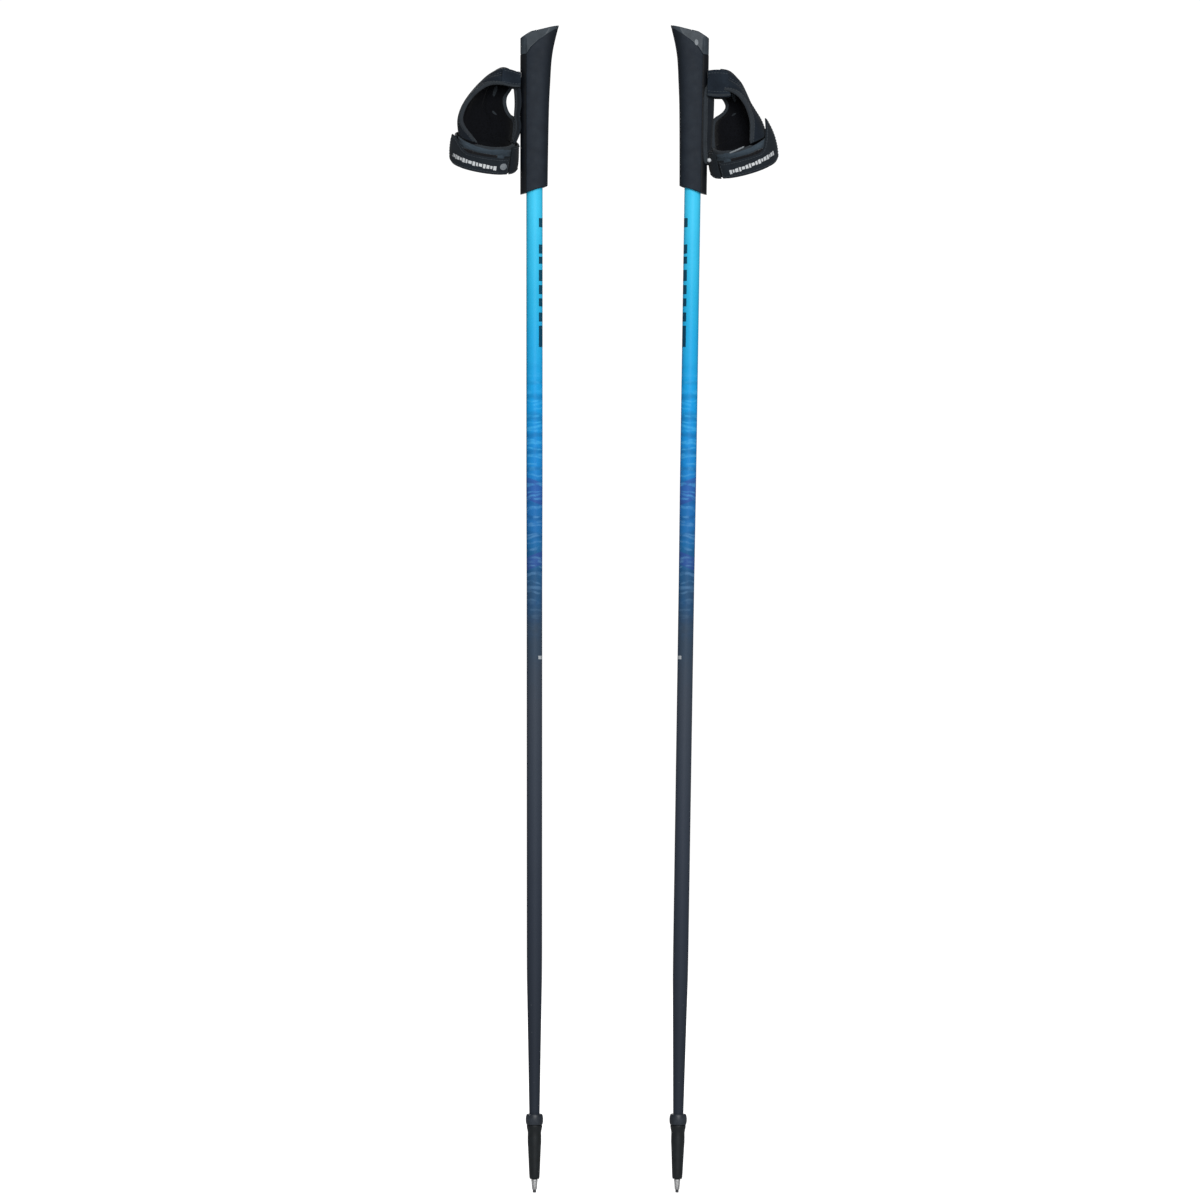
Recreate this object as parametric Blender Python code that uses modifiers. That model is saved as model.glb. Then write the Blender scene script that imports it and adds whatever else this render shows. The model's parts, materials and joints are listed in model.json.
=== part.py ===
"""A pair of one-piece Nordic walking poles with half-glove straps, in metres, +Z up, tips on the ground.

Each pole is built in its own frame: the origin is on the shaft's axis at the ground, +X points forwards
(away from the wrist strap) and +Y across. The left frame is only shifted. The right frame mirrors X,
because the straps are a left and a right hand's, and leans a little.
"""

import math

import bmesh
import bpy
from mathutils import Matrix, Vector

# --- the pair -----------------------------------------------------------------------------------------
HALF_SPACING = 0.0782  # from the middle of the pair to each shaft's axis, at the height of the cuffs
SPACING_HEIGHT = 1.025
RIGHT_LEAN = math.radians(0.89)
GAP = 0.0003  # between pieces that touch on the real pole

# --- shaft: (height, radius) of the outside, top to bottom --------------------------------------------
SHAFT_OUTSIDE = (
    (1.085, 0.00805),
    (0.700, 0.00800),
    (0.600, 0.00770),
    (0.240, 0.00755),
    (0.210, 0.00740),
    (0.079, 0.00510),
    (0.034, 0.00460),
)
SHAFT_WALL = 0.0010

# --- tip ----------------------------------------------------------------------------------------------
RING_TOP = 0.0775
RING_BOTTOM = 0.0668
RING_BORE = 0.0069
FERRULE_NECK = 0.0066
FERRULE_BOTTOM = 0.0135
SOCKET_STEM = 0.0024
SOCKET_TOP = 0.0270
CARBIDE_RADIUS = 0.0016
CARBIDE_TOP = 0.0090

# --- grip: the back is straight, the front flares; both ends are cut on a slant -----------------------
GRIP_BACK = -0.0140
GRIP_FRONT = (  # (height, x)
    (0.975, 0.0128),
    (1.025, 0.0135),
    (1.072, 0.0145),
    (1.096, 0.0157),
    (1.114, 0.0168),
    (1.126, 0.0184),
    (1.138, 0.0210),
    (1.150, 0.0242),
    (1.157, 0.0265),
)
GRIP_HALF_WIDTH = (  # (height, half width across)
    (0.975, 0.0118),
    (1.020, 0.0128),
    (1.060, 0.0130),
    (1.100, 0.0125),
    (1.157, 0.0123),
)
GRIP_POWER = 2.6  # of the super-ellipse: 2 is an ellipse, more is squarer
GRIP_LOW_CUT = ((-0.030, 0.9784), (0.030, 0.9972))  # the slanted lower end, seen from the side
GRIP_TOP_CUT = ((-0.030, 1.1276), (-0.0041, 1.1436), (0.0242, 1.1500), (0.040, 1.1536))
SLEEVE_BACK = -0.0080  # behind this line the bare core shows as a narrower spine
CORE_MIDDLE = -0.0022
CORE_HALF_LENGTH = 0.0118
CORE_HALF_WIDTH = 0.0096
CORE_POWER = 2.5
CAP_EDGE = (  # the curved parting line under the head cap, (x, height)
    (-0.030, 1.1190),
    (-0.0080, 1.1212),
    (-0.0035, 1.1280),
    (0.0040, 1.1345),
    (0.0130, 1.1408),
    (0.0200, 1.1452),
    (0.0300, 1.1495),
)
FACET_START = Vector((-0.0077, 0.0, 1.1215))
FACET_END = Vector((0.0190, 0.0, 1.1450))
FACET_ANGLE = math.radians(16)

# --- strap release ------------------------------------------------------------------------------------
BUTTON_RADIUS = 0.0048
BUTTON_BASE = 1.1378
BUTTON_PROUD = 0.0006
BUTTON_TRAVEL = 0.0025
STEM_RADIUS = 0.0016
STEM_FOOT = 1.1072
PLUG_MIDDLE = 1.1010  # height of the plug, the yoke and the strap's bar
PLUG_HALF_HEIGHT = 0.0028
PLUG_HALF_WIDTH = 0.0050
PLUG_NOSE = -0.0010
NOTCH = ((-0.0056, 1.0970), (-0.0028, 1.0970), (-0.0028, 1.1000), (-0.0056, 1.1000))
YOKE_FRONT = -0.0145
YOKE_BACK = -0.0160
YOKE_END = -0.0222
YOKE_HALF_WIDTH = 0.0125
YOKE_ARM = 0.0027
BAR_X = -0.0195
BAR_RADIUS = 0.0012
CATCH_PATH = (  # the leaf spring seen from the side, from its fixed end to the pad under the stem
    (-0.0094, 1.0948),
    (-0.0056, 1.0952),
    (-0.0050, 1.0992),
    (-0.0036, 1.0992),
    (-0.0030, 1.0952),
    (0.0012, 1.0944),
    (0.0020, 1.1050),
    (0.0052, 1.1060),
)
CATCH_THICKNESS = 0.0005
CATCH_HALF_WIDTH = 0.0030

# --- strap --------------------------------------------------------------------------------------------
TONGUE_HALF_WIDTH = 0.0085
TONGUE_LOOP = 0.0031
TONGUE_TAIL = ((-0.0250, 1.1058), (-0.0298, 1.1076), (-0.0304, 1.1049), (-0.0255, 1.1028))
WEB_HALF_WIDTH = 0.0100
WEB_THICKNESS = 0.0026
WEB_PATH = (  # (x, height) down the back of the grip
    (-0.0215, 1.0968),
    (-0.0192, 1.0850),
    (-0.0180, 1.0700),
    (-0.0178, 1.0550),
    (-0.0188, 1.0430),
    (-0.0203, 1.0390),
)
CUFF_X = -0.0493
CUFF_HALF_HEIGHT = 0.0142
CUFF_SQUEEZE = 0.0036  # how much less the ring's half depth is than its half length
CUFF_ROLL = math.radians(15)  # the near edge hangs lower than the far edge
CUFF_LAYER = (0.0252, 0.0279)  # half lengths of each layer's inner and outer face
LOOP_LAYER = (0.0282, 0.0289)
HOOK_LAYER = (0.0293, 0.0300)
BAND_LAYER = (0.0304, 0.0326)
BAND_ARC = (-32, 174)  # degrees round the ring: 0 faces the grip, 90 the far side, 180 the back
TAB_ARC = (188, 325)
LOOP_ARC = (200, 300)
HOOK_ARC = (195, 250)
TAB_HINGE_ANGLE = 326.5
PANEL_THICKNESS = 0.0022
PANEL_LIFT = 0.0014  # of its foot above the ring, so that the leaning edge stays clear

# Stations of the hand panel from above the cuff to the tongue: the outline's point seen from the side
# (x, height), the way inwards (degrees below +X), the half length and half depth of the section there,
# and how far it wraps to the near and to the far side (degrees).
STRAPS = {
    "left": {
        "cuff_height": 1.0245,
        "cuff_pitch": math.radians(10),
        "corner": 0.0,
        "panel": (
            (-0.0745, 1.0560, 0, 0.0270, 0.0255, 40, 160),
            (-0.0708, 1.0690, 10, 0.0255, 0.0250, 42, 140),
            (-0.0630, 1.0815, 30, 0.0230, 0.0220, 44, 118),
            (-0.0525, 1.0935, 42, 0.0185, 0.0175, 46, 106),
            (-0.0415, 1.1025, 58, 0.0100, 0.0130, 58, 96),
            (-0.0312, 1.1066, 88, 0.0035, 0.0100, 80, 84),
        ),
    },
    "right": {
        "cuff_height": 1.0235,
        "cuff_pitch": math.radians(17),
        "corner": 0.0100,
        "panel": (
            (-0.0690, 1.0590, 24, 0.0255, 0.0250, 42, 150),
            (-0.0602, 1.0690, 30, 0.0230, 0.0240, 44, 134),
            (-0.0540, 1.0790, 22, 0.0205, 0.0220, 46, 118),
            (-0.0500, 1.0890, 28, 0.0180, 0.0190, 48, 108),
            (-0.0430, 1.0990, 52, 0.0120, 0.0145, 58, 98),
            (-0.0312, 1.1062, 80, 0.0035, 0.0100, 80, 84),
        ),
    },
}

# --- fineness -----------------------------------------------------------------------------------------
ROUND_STEPS = 28
OVAL_POINTS = 32
MERGE = 0.00001

# colour, metallic, roughness
FINISHES = {
    "blue_paint": ((0.03, 0.35, 0.75), 0.2, 0.3),
    "soft_rubber": ((0.022, 0.027, 0.034), 0.0, 0.7),
    "hard_black": ((0.012, 0.014, 0.018), 0.0, 0.45),
    "cap_grey": ((0.045, 0.058, 0.068), 0.0, 0.5),
    "steel": ((0.55, 0.56, 0.58), 1.0, 0.3),
    "carbide": ((0.22, 0.23, 0.24), 0.9, 0.4),
    "strap_fabric": ((0.010, 0.011, 0.014), 0.0, 0.9),
    "hook_and_loop": ((0.014, 0.014, 0.017), 0.0, 0.95),
}


def clear_scene():
    for obj in list(bpy.data.objects):
        bpy.data.objects.remove(obj)


def new_collection(name):
    collection = bpy.data.collections.new(name)
    bpy.context.scene.collection.children.link(collection)
    return collection


def finish_material(name):
    """The named material, made once."""
    material = bpy.data.materials.get(name)
    if material is None:
        colour, metallic, roughness = FINISHES[name]
        material = bpy.data.materials.new(name)
        material.use_nodes = True
        shader = material.node_tree.nodes["Principled BSDF"]
        shader.inputs["Base Color"].default_value = (*colour, 1.0)
        shader.inputs["Metallic"].default_value = metallic
        shader.inputs["Roughness"].default_value = roughness
    return material


class Pole:
    """One pole's frame, the pivots inside it and the collections that its objects go in."""

    def __init__(self, side, frame_matrix, parts, cutters):
        self.side = side
        self.parts = parts
        self.cutters = cutters
        self.frame = self.empty("frame")
        self.frame.matrix_world = frame_matrix
        self.pivots = {"pole": (self.frame, Vector())}

    def empty(self, label):
        obj = bpy.data.objects.new(f"{self.side}_{label}", None)
        self.parts.objects.link(obj)
        return obj

    def add_pivot(self, label, place):
        """An empty on a joint's axis, at a place in the pole's frame."""
        obj = self.empty(label)
        obj.parent = self.frame
        obj.location = place
        self.pivots[label] = (obj, Vector(place))

    def part(self, label, mesh, finish, pivot="pole"):
        """A named piece. Its mesh is drawn in the pole's frame, and its parent is the pivot's empty."""
        obj = bpy.data.objects.new(f"{self.side}_{label}", mesh)
        obj.data.materials.append(finish_material(finish))
        self.parts.objects.link(obj)
        parent, place = self.pivots[pivot]
        obj.parent = parent
        obj.location = -place
        return obj

    def cutter(self, label, mesh):
        obj = bpy.data.objects.new(f"{self.side}_{label}_cutter", mesh)
        self.cutters.objects.link(obj)
        obj.parent = self.frame
        obj.hide_render = True
        obj.display_type = "WIRE"
        return obj


# --- meshes -------------------------------------------------------------------------------------------
def mesh_from(bm, name):
    mesh = bpy.data.meshes.new(name)
    bm.to_mesh(mesh)
    bm.free()
    return mesh


def profile_mesh(name, profile, closed):
    """(radius, height) points joined by edges, for a Screw modifier to turn."""
    edges = [(i, i + 1) for i in range(len(profile) - 1)]
    if closed:
        edges.append((len(profile) - 1, 0))
    mesh = bpy.data.meshes.new(name)
    mesh.from_pydata([(radius, 0.0, height) for radius, height in profile], edges, [])
    return mesh


def turn(obj, meets_axis):
    screw = obj.modifiers.new("Turn", "SCREW")
    screw.axis = "Z"
    screw.steps = ROUND_STEPS
    screw.render_steps = ROUND_STEPS
    screw.use_merge_vertices = meets_axis
    screw.merge_threshold = MERGE
    return obj


def box_mesh(name, low, high):
    bm = bmesh.new()
    bmesh.ops.create_cube(bm, size=1.0)
    low, high = Vector(low), Vector(high)
    bmesh.ops.scale(bm, vec=high - low, verts=bm.verts)
    bmesh.ops.translate(bm, vec=(low + high) / 2, verts=bm.verts)
    return mesh_from(bm, name)


def rod_mesh(name, centre, radius, length, axis="Z"):
    turn_to = {"Z": Matrix(), "Y": Matrix.Rotation(math.pi / 2, 4, "X")}[axis]
    bm = bmesh.new()
    bmesh.ops.create_cone(
        bm,
        cap_ends=True,
        segments=ROUND_STEPS,
        radius1=radius,
        radius2=radius,
        depth=length,
        matrix=Matrix.Translation(centre) @ turn_to,
    )
    return mesh_from(bm, name)


def prism_mesh(name, outline, axis, low, high):
    """A flat outline pushed along an axis: (x, height) points along Y, or (x, y) points along Z."""
    bm = bmesh.new()
    lay = {"Y": lambda a, b: (a, low, b), "Z": lambda a, b: (a, b, low)}[axis]
    push = {"Y": (0, high - low, 0), "Z": (0, 0, high - low)}[axis]
    face = bm.faces.new([bm.verts.new(lay(a, b)) for a, b in outline])
    made = bmesh.ops.extrude_face_region(bm, geom=[face])["geom"]
    bmesh.ops.translate(bm, vec=push, verts=[v for v in made if isinstance(v, bmesh.types.BMVert)])
    bmesh.ops.recalc_face_normals(bm, faces=bm.faces)
    return mesh_from(bm, name)


def loft_mesh(name, rings):
    """A solid through rings of equally many points, from the lowest up, each anticlockwise from above."""
    bm = bmesh.new()
    rows = [[bm.verts.new(point) for point in ring] for ring in rings]
    bm.faces.new(reversed(rows[0]))
    bm.faces.new(rows[-1])
    for low, high in zip(rows, rows[1:]):
        for i in range(len(low)):
            j = (i + 1) % len(low)
            bm.faces.new((low[i], low[j], high[j], high[i]))
    return mesh_from(bm, name)


def sheet_mesh(name, point_at, columns, rows, closed=False):
    """An open sheet: point_at(u, v) for u and v from 0 to 1. A closed sheet meets itself at u = 0 and 1."""
    bm = bmesh.new()
    bmesh.ops.create_grid(bm, x_segments=columns, y_segments=rows, size=0.5)
    for vertex in bm.verts:
        vertex.co = point_at(vertex.co.x + 0.5, vertex.co.y + 0.5)
    if closed:
        bmesh.ops.remove_doubles(bm, verts=bm.verts, dist=MERGE)
    return mesh_from(bm, name)


def thicken(obj, thickness, offset):
    """Offset 0 puts the sheet in the middle of its thickness, 1 inside it."""
    solidify = obj.modifiers.new("Thickness", "SOLIDIFY")
    solidify.thickness = thickness
    solidify.offset = offset
    return obj


def combine(obj, other, operation="DIFFERENCE"):
    boolean = obj.modifiers.new(operation.title(), "BOOLEAN")
    boolean.operation = operation
    boolean.object = other
    return obj


# --- curves through points ----------------------------------------------------------------------------
def smooth_row(rows, t):
    """The row at t, from 0 to 1, on a Catmull-Rom curve through rows of numbers."""
    place = min(max(t, 0.0), 1.0) * (len(rows) - 1)
    i = min(int(place), len(rows) - 2)
    f = place - i
    a, b, c, d = (rows[min(max(k, 0), len(rows) - 1)] for k in (i - 1, i, i + 1, i + 2))
    return [
        0.5 * (2 * q + (r - p) * f + (2 * p - 5 * q + 4 * r - s) * f**2 + (3 * q - p - 3 * r + s) * f**3)
        for p, q, r, s in zip(a, b, c, d)
    ]


def value_at(table, height):
    """Straight-line reading of a table of (height, value)."""
    for (low, first), (high, second) in zip(table, table[1:]):
        if height <= high:
            return first + (second - first) * (height - low) / (high - low)
    return table[-1][1]


def oval_ring(middle, half_length, half_width, power, height):
    """A super-ellipse at a height, anticlockwise from above."""
    ring = []
    for i in range(OVAL_POINTS):
        angle = 2 * math.pi * i / OVAL_POINTS
        c, s = math.cos(angle), math.sin(angle)
        x = middle + half_length * math.copysign(abs(c) ** (2 / power), c)
        y = half_width * math.copysign(abs(s) ** (2 / power), s)
        ring.append((x, y, height))
    return ring


# --- shaft and tip ------------------------------------------------------------------------------------
def shaft_radius(height):
    return value_at(tuple(reversed(SHAFT_OUTSIDE)), height)


def build_shaft(pole):
    outside = [(radius, height) for height, radius in SHAFT_OUTSIDE]
    inside = [(radius - SHAFT_WALL, height) for radius, height in reversed(outside)]
    turn(pole.part("shaft", profile_mesh("shaft", outside + inside, True), "blue_paint"), False)


def build_basket_ring(pole):
    outside = [
        (0.0074, RING_TOP),
        (0.0081, 0.0760),
        (0.0085, 0.0732),
        (0.0086, 0.0705),
        (0.0083, 0.0684),
        (0.0077, RING_BOTTOM),
    ]
    bore = [(RING_BORE, RING_BOTTOM), (RING_BORE, RING_TOP)]
    turn(pole.part("basket_ring", profile_mesh("basket_ring", outside + bore, True), "hard_black"), False)


def build_ferrule(pole):
    shaft_foot = SHAFT_OUTSIDE[-1][0]
    outside = [
        (FERRULE_NECK, RING_TOP - GAP),
        (FERRULE_NECK, RING_BOTTOM - GAP),
        (0.0077, RING_BOTTOM - GAP),
        (0.0074, 0.0640),
        (0.0066, 0.0592),
        (0.0067, 0.0530),
        (0.0064, 0.0450),
        (0.0058, 0.0320),
        (0.0053, 0.0200),
        (0.0050, 0.0150),
        (0.0046, FERRULE_BOTTOM),
    ]
    socket_hole = [(SOCKET_STEM + GAP, FERRULE_BOTTOM), (SOCKET_STEM + GAP, SOCKET_TOP + GAP)]
    # The web between the two bores has a small hole, so that neither ends against the other.
    web_hole = [(0.0008, SOCKET_TOP + GAP), (0.0008, shaft_foot - GAP)]
    shaft_hole = [
        (shaft_radius(shaft_foot) + GAP, shaft_foot - GAP),
        (shaft_radius(RING_TOP) + GAP, RING_TOP - GAP),
    ]
    profile = outside + socket_hole + web_hole + shaft_hole
    turn(pole.part("ferrule", profile_mesh("ferrule", profile, True), "hard_black"), False)


def build_tip(pole):
    socket = [
        (0.0, SOCKET_TOP),
        (SOCKET_STEM, SOCKET_TOP),
        (SOCKET_STEM, FERRULE_BOTTOM - GAP),
        (0.0031, FERRULE_BOTTOM - GAP),
        (0.0030, 0.0105),
        (0.0023, 0.0030),
        (CARBIDE_RADIUS + GAP, 0.0030),
        (CARBIDE_RADIUS + GAP, CARBIDE_TOP + GAP),
        (0.0, CARBIDE_TOP + GAP),
    ]
    turn(pole.part("tip_socket", profile_mesh("tip_socket", socket, False), "steel"), True)
    carbide = [
        (0.0, CARBIDE_TOP),
        (CARBIDE_RADIUS, CARBIDE_TOP),
        (CARBIDE_RADIUS, 0.0),
        (0.0, 0.0),
    ]
    turn(pole.part("carbide_tip", profile_mesh("carbide_tip", carbide, False), "carbide"), True)


# --- grip ---------------------------------------------------------------------------------------------
def envelope_rings():
    """The grip's whole outer form, longer than the grip at both ends."""
    rings = []
    for height, front in GRIP_FRONT:
        middle, half = (front + GRIP_BACK) / 2, (front - GRIP_BACK) / 2
        rings.append(oval_ring(middle, half, value_at(GRIP_HALF_WIDTH, height), GRIP_POWER, height))
    return rings


def core_rings(extra=0.0):
    ends = (GRIP_FRONT[0][0] - extra, GRIP_FRONT[-1][0] + extra)
    half_length, half_width = CORE_HALF_LENGTH + extra, CORE_HALF_WIDTH + extra
    return [oval_ring(CORE_MIDDLE, half_length, half_width, CORE_POWER, height) for height in ends]


def grip_cutters(pole):
    """Cutters that more than one piece of the grip shares."""
    far = 0.03
    deep, high = 0.90, 1.20
    below_grip = (*GRIP_LOW_CUT, (0.030, deep), (-0.030, deep))
    above_edge = (*CAP_EDGE, (0.030, high), (-0.030, high))
    below_edge = (*((x, z + GAP) for x, z in CAP_EDGE), (0.030, deep), (-0.030, deep))
    above_top = (*GRIP_TOP_CUT, (0.040, high), (-0.030, high))
    made = {
        label: pole.cutter(label, prism_mesh(label, outline, "Y", -far, far))
        for label, outline in (
            ("below_grip", below_grip),
            ("above_edge", above_edge),
            ("below_edge", below_edge),
            ("above_top", above_top),
        )
    }
    stem_hole = rod_mesh("stem_hole", (0, 0, 1.125), STEM_RADIUS + GAP, 0.050)
    made["stem_hole"] = pole.cutter("stem_hole", stem_hole)
    return made


def slot_cutters(pole):
    """The plug's slot through the spine, and the catch spring's chamber under and in front of it."""
    half_width = PLUG_HALF_WIDTH + GAP
    half_height = PLUG_HALF_HEIGHT + GAP
    room = CATCH_HALF_WIDTH + 0.0008
    return [
        pole.cutter(label, box_mesh(label, low, high))
        for label, low, high in (
            (
                "slot",
                (-0.0200, -half_width, PLUG_MIDDLE - half_height),
                (-0.0004, half_width, PLUG_MIDDLE + half_height),
            ),
            ("chamber_low", (-0.0100, -room, 1.0926), (0.0064, room, 1.0990)),
            ("chamber_front", (-0.0008, -room, 1.0930), (0.0062, room, 1.1075)),
        )
    ]


def build_grip_core(pole, shared):
    core = pole.part("grip_core", loft_mesh("grip_core", core_rings()), "hard_black")
    shaft_top = SHAFT_OUTSIDE[0][0]
    bore_low, bore_high = 0.95, shaft_top + GAP
    bore = rod_mesh(
        "shaft_bore",
        (0, 0, (bore_low + bore_high) / 2),
        SHAFT_OUTSIDE[0][1] + GAP,
        bore_high - bore_low,
    )
    combine(core, pole.cutter("shaft_bore", bore))
    for cutter in slot_cutters(pole):
        combine(core, cutter)
    for label in ("stem_hole", "below_grip", "above_edge"):
        combine(core, shared[label])


def build_grip_sleeve(pole, shared):
    sleeve = pole.part("grip_sleeve", loft_mesh("grip_sleeve", envelope_rings()), "soft_rubber")
    back = box_mesh("sleeve_back", (-0.05, -0.03, 0.90), (SLEEVE_BACK - GAP, 0.03, 1.20))
    combine(sleeve, pole.cutter("sleeve_back", back))
    combine(sleeve, pole.cutter("core_room", loft_mesh("core_room", core_rings(GAP))))
    for label in ("below_grip", "above_edge"):
        combine(sleeve, shared[label])


def facet_cutter(pole, way):
    """A block whose face is the flat on one side of the head. way is -1 for the near side, 1 for the far."""
    size = 0.08
    along = (FACET_END - FACET_START).normalized()
    upwards = Vector((-along.z, 0.0, along.x))
    normal = math.sin(FACET_ANGLE) * upwards + math.cos(FACET_ANGLE) * Vector((0, way, 0))
    across = normal.cross(along)
    half_width = value_at(GRIP_HALF_WIDTH, FACET_START.z)
    middle = (FACET_START + FACET_END) / 2 + Vector((0, way * half_width, 0)) + normal * size / 2
    turned = Matrix((along, across, normal)).transposed().to_4x4()
    bm = bmesh.new()
    bmesh.ops.create_cube(bm, size=size, matrix=Matrix.Translation(middle) @ turned)
    label = "near_facet" if way < 0 else "far_facet"
    return pole.cutter(label, mesh_from(bm, label))


def build_head_cap(pole, shared):
    cap = pole.part("head_cap", loft_mesh("head_cap", envelope_rings()), "cap_grey")
    back = box_mesh("cap_back", (-0.05, -0.03, 0.90), (SLEEVE_BACK, 0.03, 1.20))
    combine(cap, pole.cutter("cap_back", back))
    spine = pole.cutter("cap_spine", loft_mesh("cap_spine", core_rings(-0.0001)))
    combine(cap, spine, "UNION")
    for label in ("below_edge", "above_top", "stem_hole"):
        combine(cap, shared[label])
    for way in (-1, 1):
        combine(cap, facet_cutter(pole, way))
    pocket_floor = BUTTON_BASE - BUTTON_TRAVEL - GAP
    pocket_top = 1.16
    pocket = rod_mesh(
        "button_pocket",
        (0, 0, (pocket_floor + pocket_top) / 2),
        BUTTON_RADIUS + GAP,
        pocket_top - pocket_floor,
    )
    combine(cap, pole.cutter("button_pocket", pocket))


def build_button(pole):
    """The push button, cut to the head's slant, with the stem that reaches down to the catch spring."""
    top = 1.16
    head = rod_mesh("release_button", (0, 0, (BUTTON_BASE + top) / 2), BUTTON_RADIUS, top - BUTTON_BASE)
    button = pole.part("release_button", head, "hard_black")
    joint = BUTTON_BASE + 0.001
    stem = rod_mesh("stem", (0, 0, (joint + STEM_FOOT) / 2), STEM_RADIUS, joint - STEM_FOOT)
    combine(button, pole.cutter("stem", stem), "UNION")
    slant = [(x, z + BUTTON_PROUD) for x, z in GRIP_TOP_CUT]
    above = prism_mesh("button_top", (*slant, (0.040, 1.20), (-0.030, 1.20)), "Y", -0.03, 0.03)
    combine(button, pole.cutter("button_top", above))


def build_catch_spring(pole):
    low, high = -CATCH_HALF_WIDTH, CATCH_HALF_WIDTH
    count = len(CATCH_PATH) - 1

    def point(u, v):
        x, height = CATCH_PATH[round(u * count)]
        return (x, low + (high - low) * v, height)

    leaf = pole.part("catch_spring", sheet_mesh("catch_spring", point, count, 1), "steel")
    thicken(leaf, CATCH_THICKNESS, 0.0)


def build_connector(pole):
    """A plug, and behind it a yoke whose two arms hold the strap's bar."""
    arm_inside = YOKE_HALF_WIDTH - YOKE_ARM
    one_side = (
        (PLUG_NOSE, PLUG_HALF_WIDTH),
        (YOKE_FRONT, PLUG_HALF_WIDTH),
        (YOKE_FRONT, YOKE_HALF_WIDTH),
        (YOKE_END, YOKE_HALF_WIDTH),
        (YOKE_END, arm_inside),
        (YOKE_BACK, arm_inside),
    )
    outline = (*one_side, *((x, -y) for x, y in reversed(one_side)))
    low, high = PLUG_MIDDLE - PLUG_HALF_HEIGHT, PLUG_MIDDLE + PLUG_HALF_HEIGHT
    connector = pole.part("connector", prism_mesh("connector", outline, "Z", low, high), "hard_black")
    notch = prism_mesh("notch", NOTCH, "Y", -0.01, 0.01)
    combine(connector, pole.cutter("notch", notch))
    bar_hole = rod_mesh("bar_hole", (BAR_X, 0, PLUG_MIDDLE), BAR_RADIUS + GAP, 0.04, "Y")
    combine(connector, pole.cutter("bar_hole", bar_hole))
    bar = rod_mesh("strap_bar", (BAR_X, 0, PLUG_MIDDLE), BAR_RADIUS, 2 * YOKE_HALF_WIDTH, "Y")
    pole.part("strap_bar", bar, "steel")


# --- strap --------------------------------------------------------------------------------------------
def cuff_frame(strap):
    """The wrist ring's own axes: X towards the grip, Y to the far side, Z along the ring's axis."""
    pitch = Matrix.Rotation(strap["cuff_pitch"], 4, "Y")
    roll = Matrix.Rotation(CUFF_ROLL, 4, "X")
    return Matrix.Translation((CUFF_X, 0.0, strap["cuff_height"])) @ pitch @ roll


def cuff_point(strap, degrees, half_length, height):
    """A point on the ring: degrees round it, on the layer with that half length, at a height along it."""
    angle = math.radians(degrees)
    half_depth = half_length - CUFF_SQUEEZE
    return cuff_frame(strap) @ Vector(
        (half_length * math.cos(angle), half_depth * math.sin(angle), height)
    )


def ring_piece(pole, label, strap, arc, layer, half_height, finish, pivot, corner=0.0, steps=20):
    """A curved piece of band on the wrist ring. corner lifts the top edge towards the arc's start."""
    start, end = arc
    closed = end - start >= 360

    def point(u, v):
        degrees = start + (end - start) * u
        lift = corner * v * max(0.0, 1 - 3 * u)
        return cuff_point(strap, degrees, layer[0], (2 * v - 1) * half_height + lift)

    mesh = sheet_mesh(label, point, steps, 1, closed)
    return thicken(pole.part(label, mesh, finish, pivot), layer[1] - layer[0], 1.0)


def panel_point(strap, along, across):
    """A point of the hand panel: along it from the cuff to the tongue, across from the near edge to the far."""
    _, y_axis, _ = (cuff_frame(strap).col[i].to_3d() for i in range(3))
    mid_layer = sum(CUFF_LAYER) / 2
    foot = cuff_point(strap, 180, mid_layer, CUFF_HALF_HEIGHT + PANEL_LIFT)
    pitch = math.degrees(strap["cuff_pitch"])
    first = (foot.x, foot.z, pitch, mid_layer, mid_layer - CUFF_SQUEEZE, 40, 152)
    x, z, inwards, half_length, half_depth, near, far = smooth_row((first, *strap["panel"]), along)
    share = max(0.0, 1 - 3 * along)  # the sections leave the ring's plane over the first third
    sideways = (share * y_axis + (1 - share) * Vector((0, 1, 0))).normalized()
    inward = Vector((math.cos(math.radians(inwards)), 0.0, -math.sin(math.radians(inwards))))
    angle = math.radians(-near + (near + far) * across)
    return (
        Vector((x, foot.y * share, z))
        + inward * half_length * (1 - math.cos(angle))
        + sideways * half_depth * math.sin(angle)
    )


def build_tongue(pole):
    """Webbing looped round the bar, with a tail that runs up to the hand panel's top."""
    turns = 14
    loop = []
    for i in range(turns + 1):
        angle = math.radians(-110 + 220 * i / turns)
        loop.append((BAR_X + TONGUE_LOOP * math.cos(angle), PLUG_MIDDLE + TONGUE_LOOP * math.sin(angle)))
    outline = (*loop, *TONGUE_TAIL)
    mesh = prism_mesh("strap_tongue", outline, "Y", -TONGUE_HALF_WIDTH, TONGUE_HALF_WIDTH)
    tongue = pole.part("strap_tongue", mesh, "strap_fabric", "strap_pivot")
    eye = rod_mesh("tongue_eye", (BAR_X, 0, PLUG_MIDDLE), BAR_RADIUS + GAP, 0.04, "Y")
    combine(tongue, pole.cutter("tongue_eye", eye))


def build_thumb_web(pole):
    def point(u, v):
        x, height = smooth_row(WEB_PATH, v)
        return (x, WEB_HALF_WIDTH * (2 * u - 1), height)

    mesh = sheet_mesh("thumb_web", point, 1, 10)
    thicken(pole.part("thumb_web", mesh, "strap_fabric", "strap_pivot"), WEB_THICKNESS, 0.0)


def build_hand_panel(pole, strap):
    mesh = sheet_mesh("hand_panel", lambda u, v: panel_point(strap, v, u), 14, 14)
    thicken(pole.part("hand_panel", mesh, "strap_fabric", "strap_pivot"), PANEL_THICKNESS, 0.0)


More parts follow.
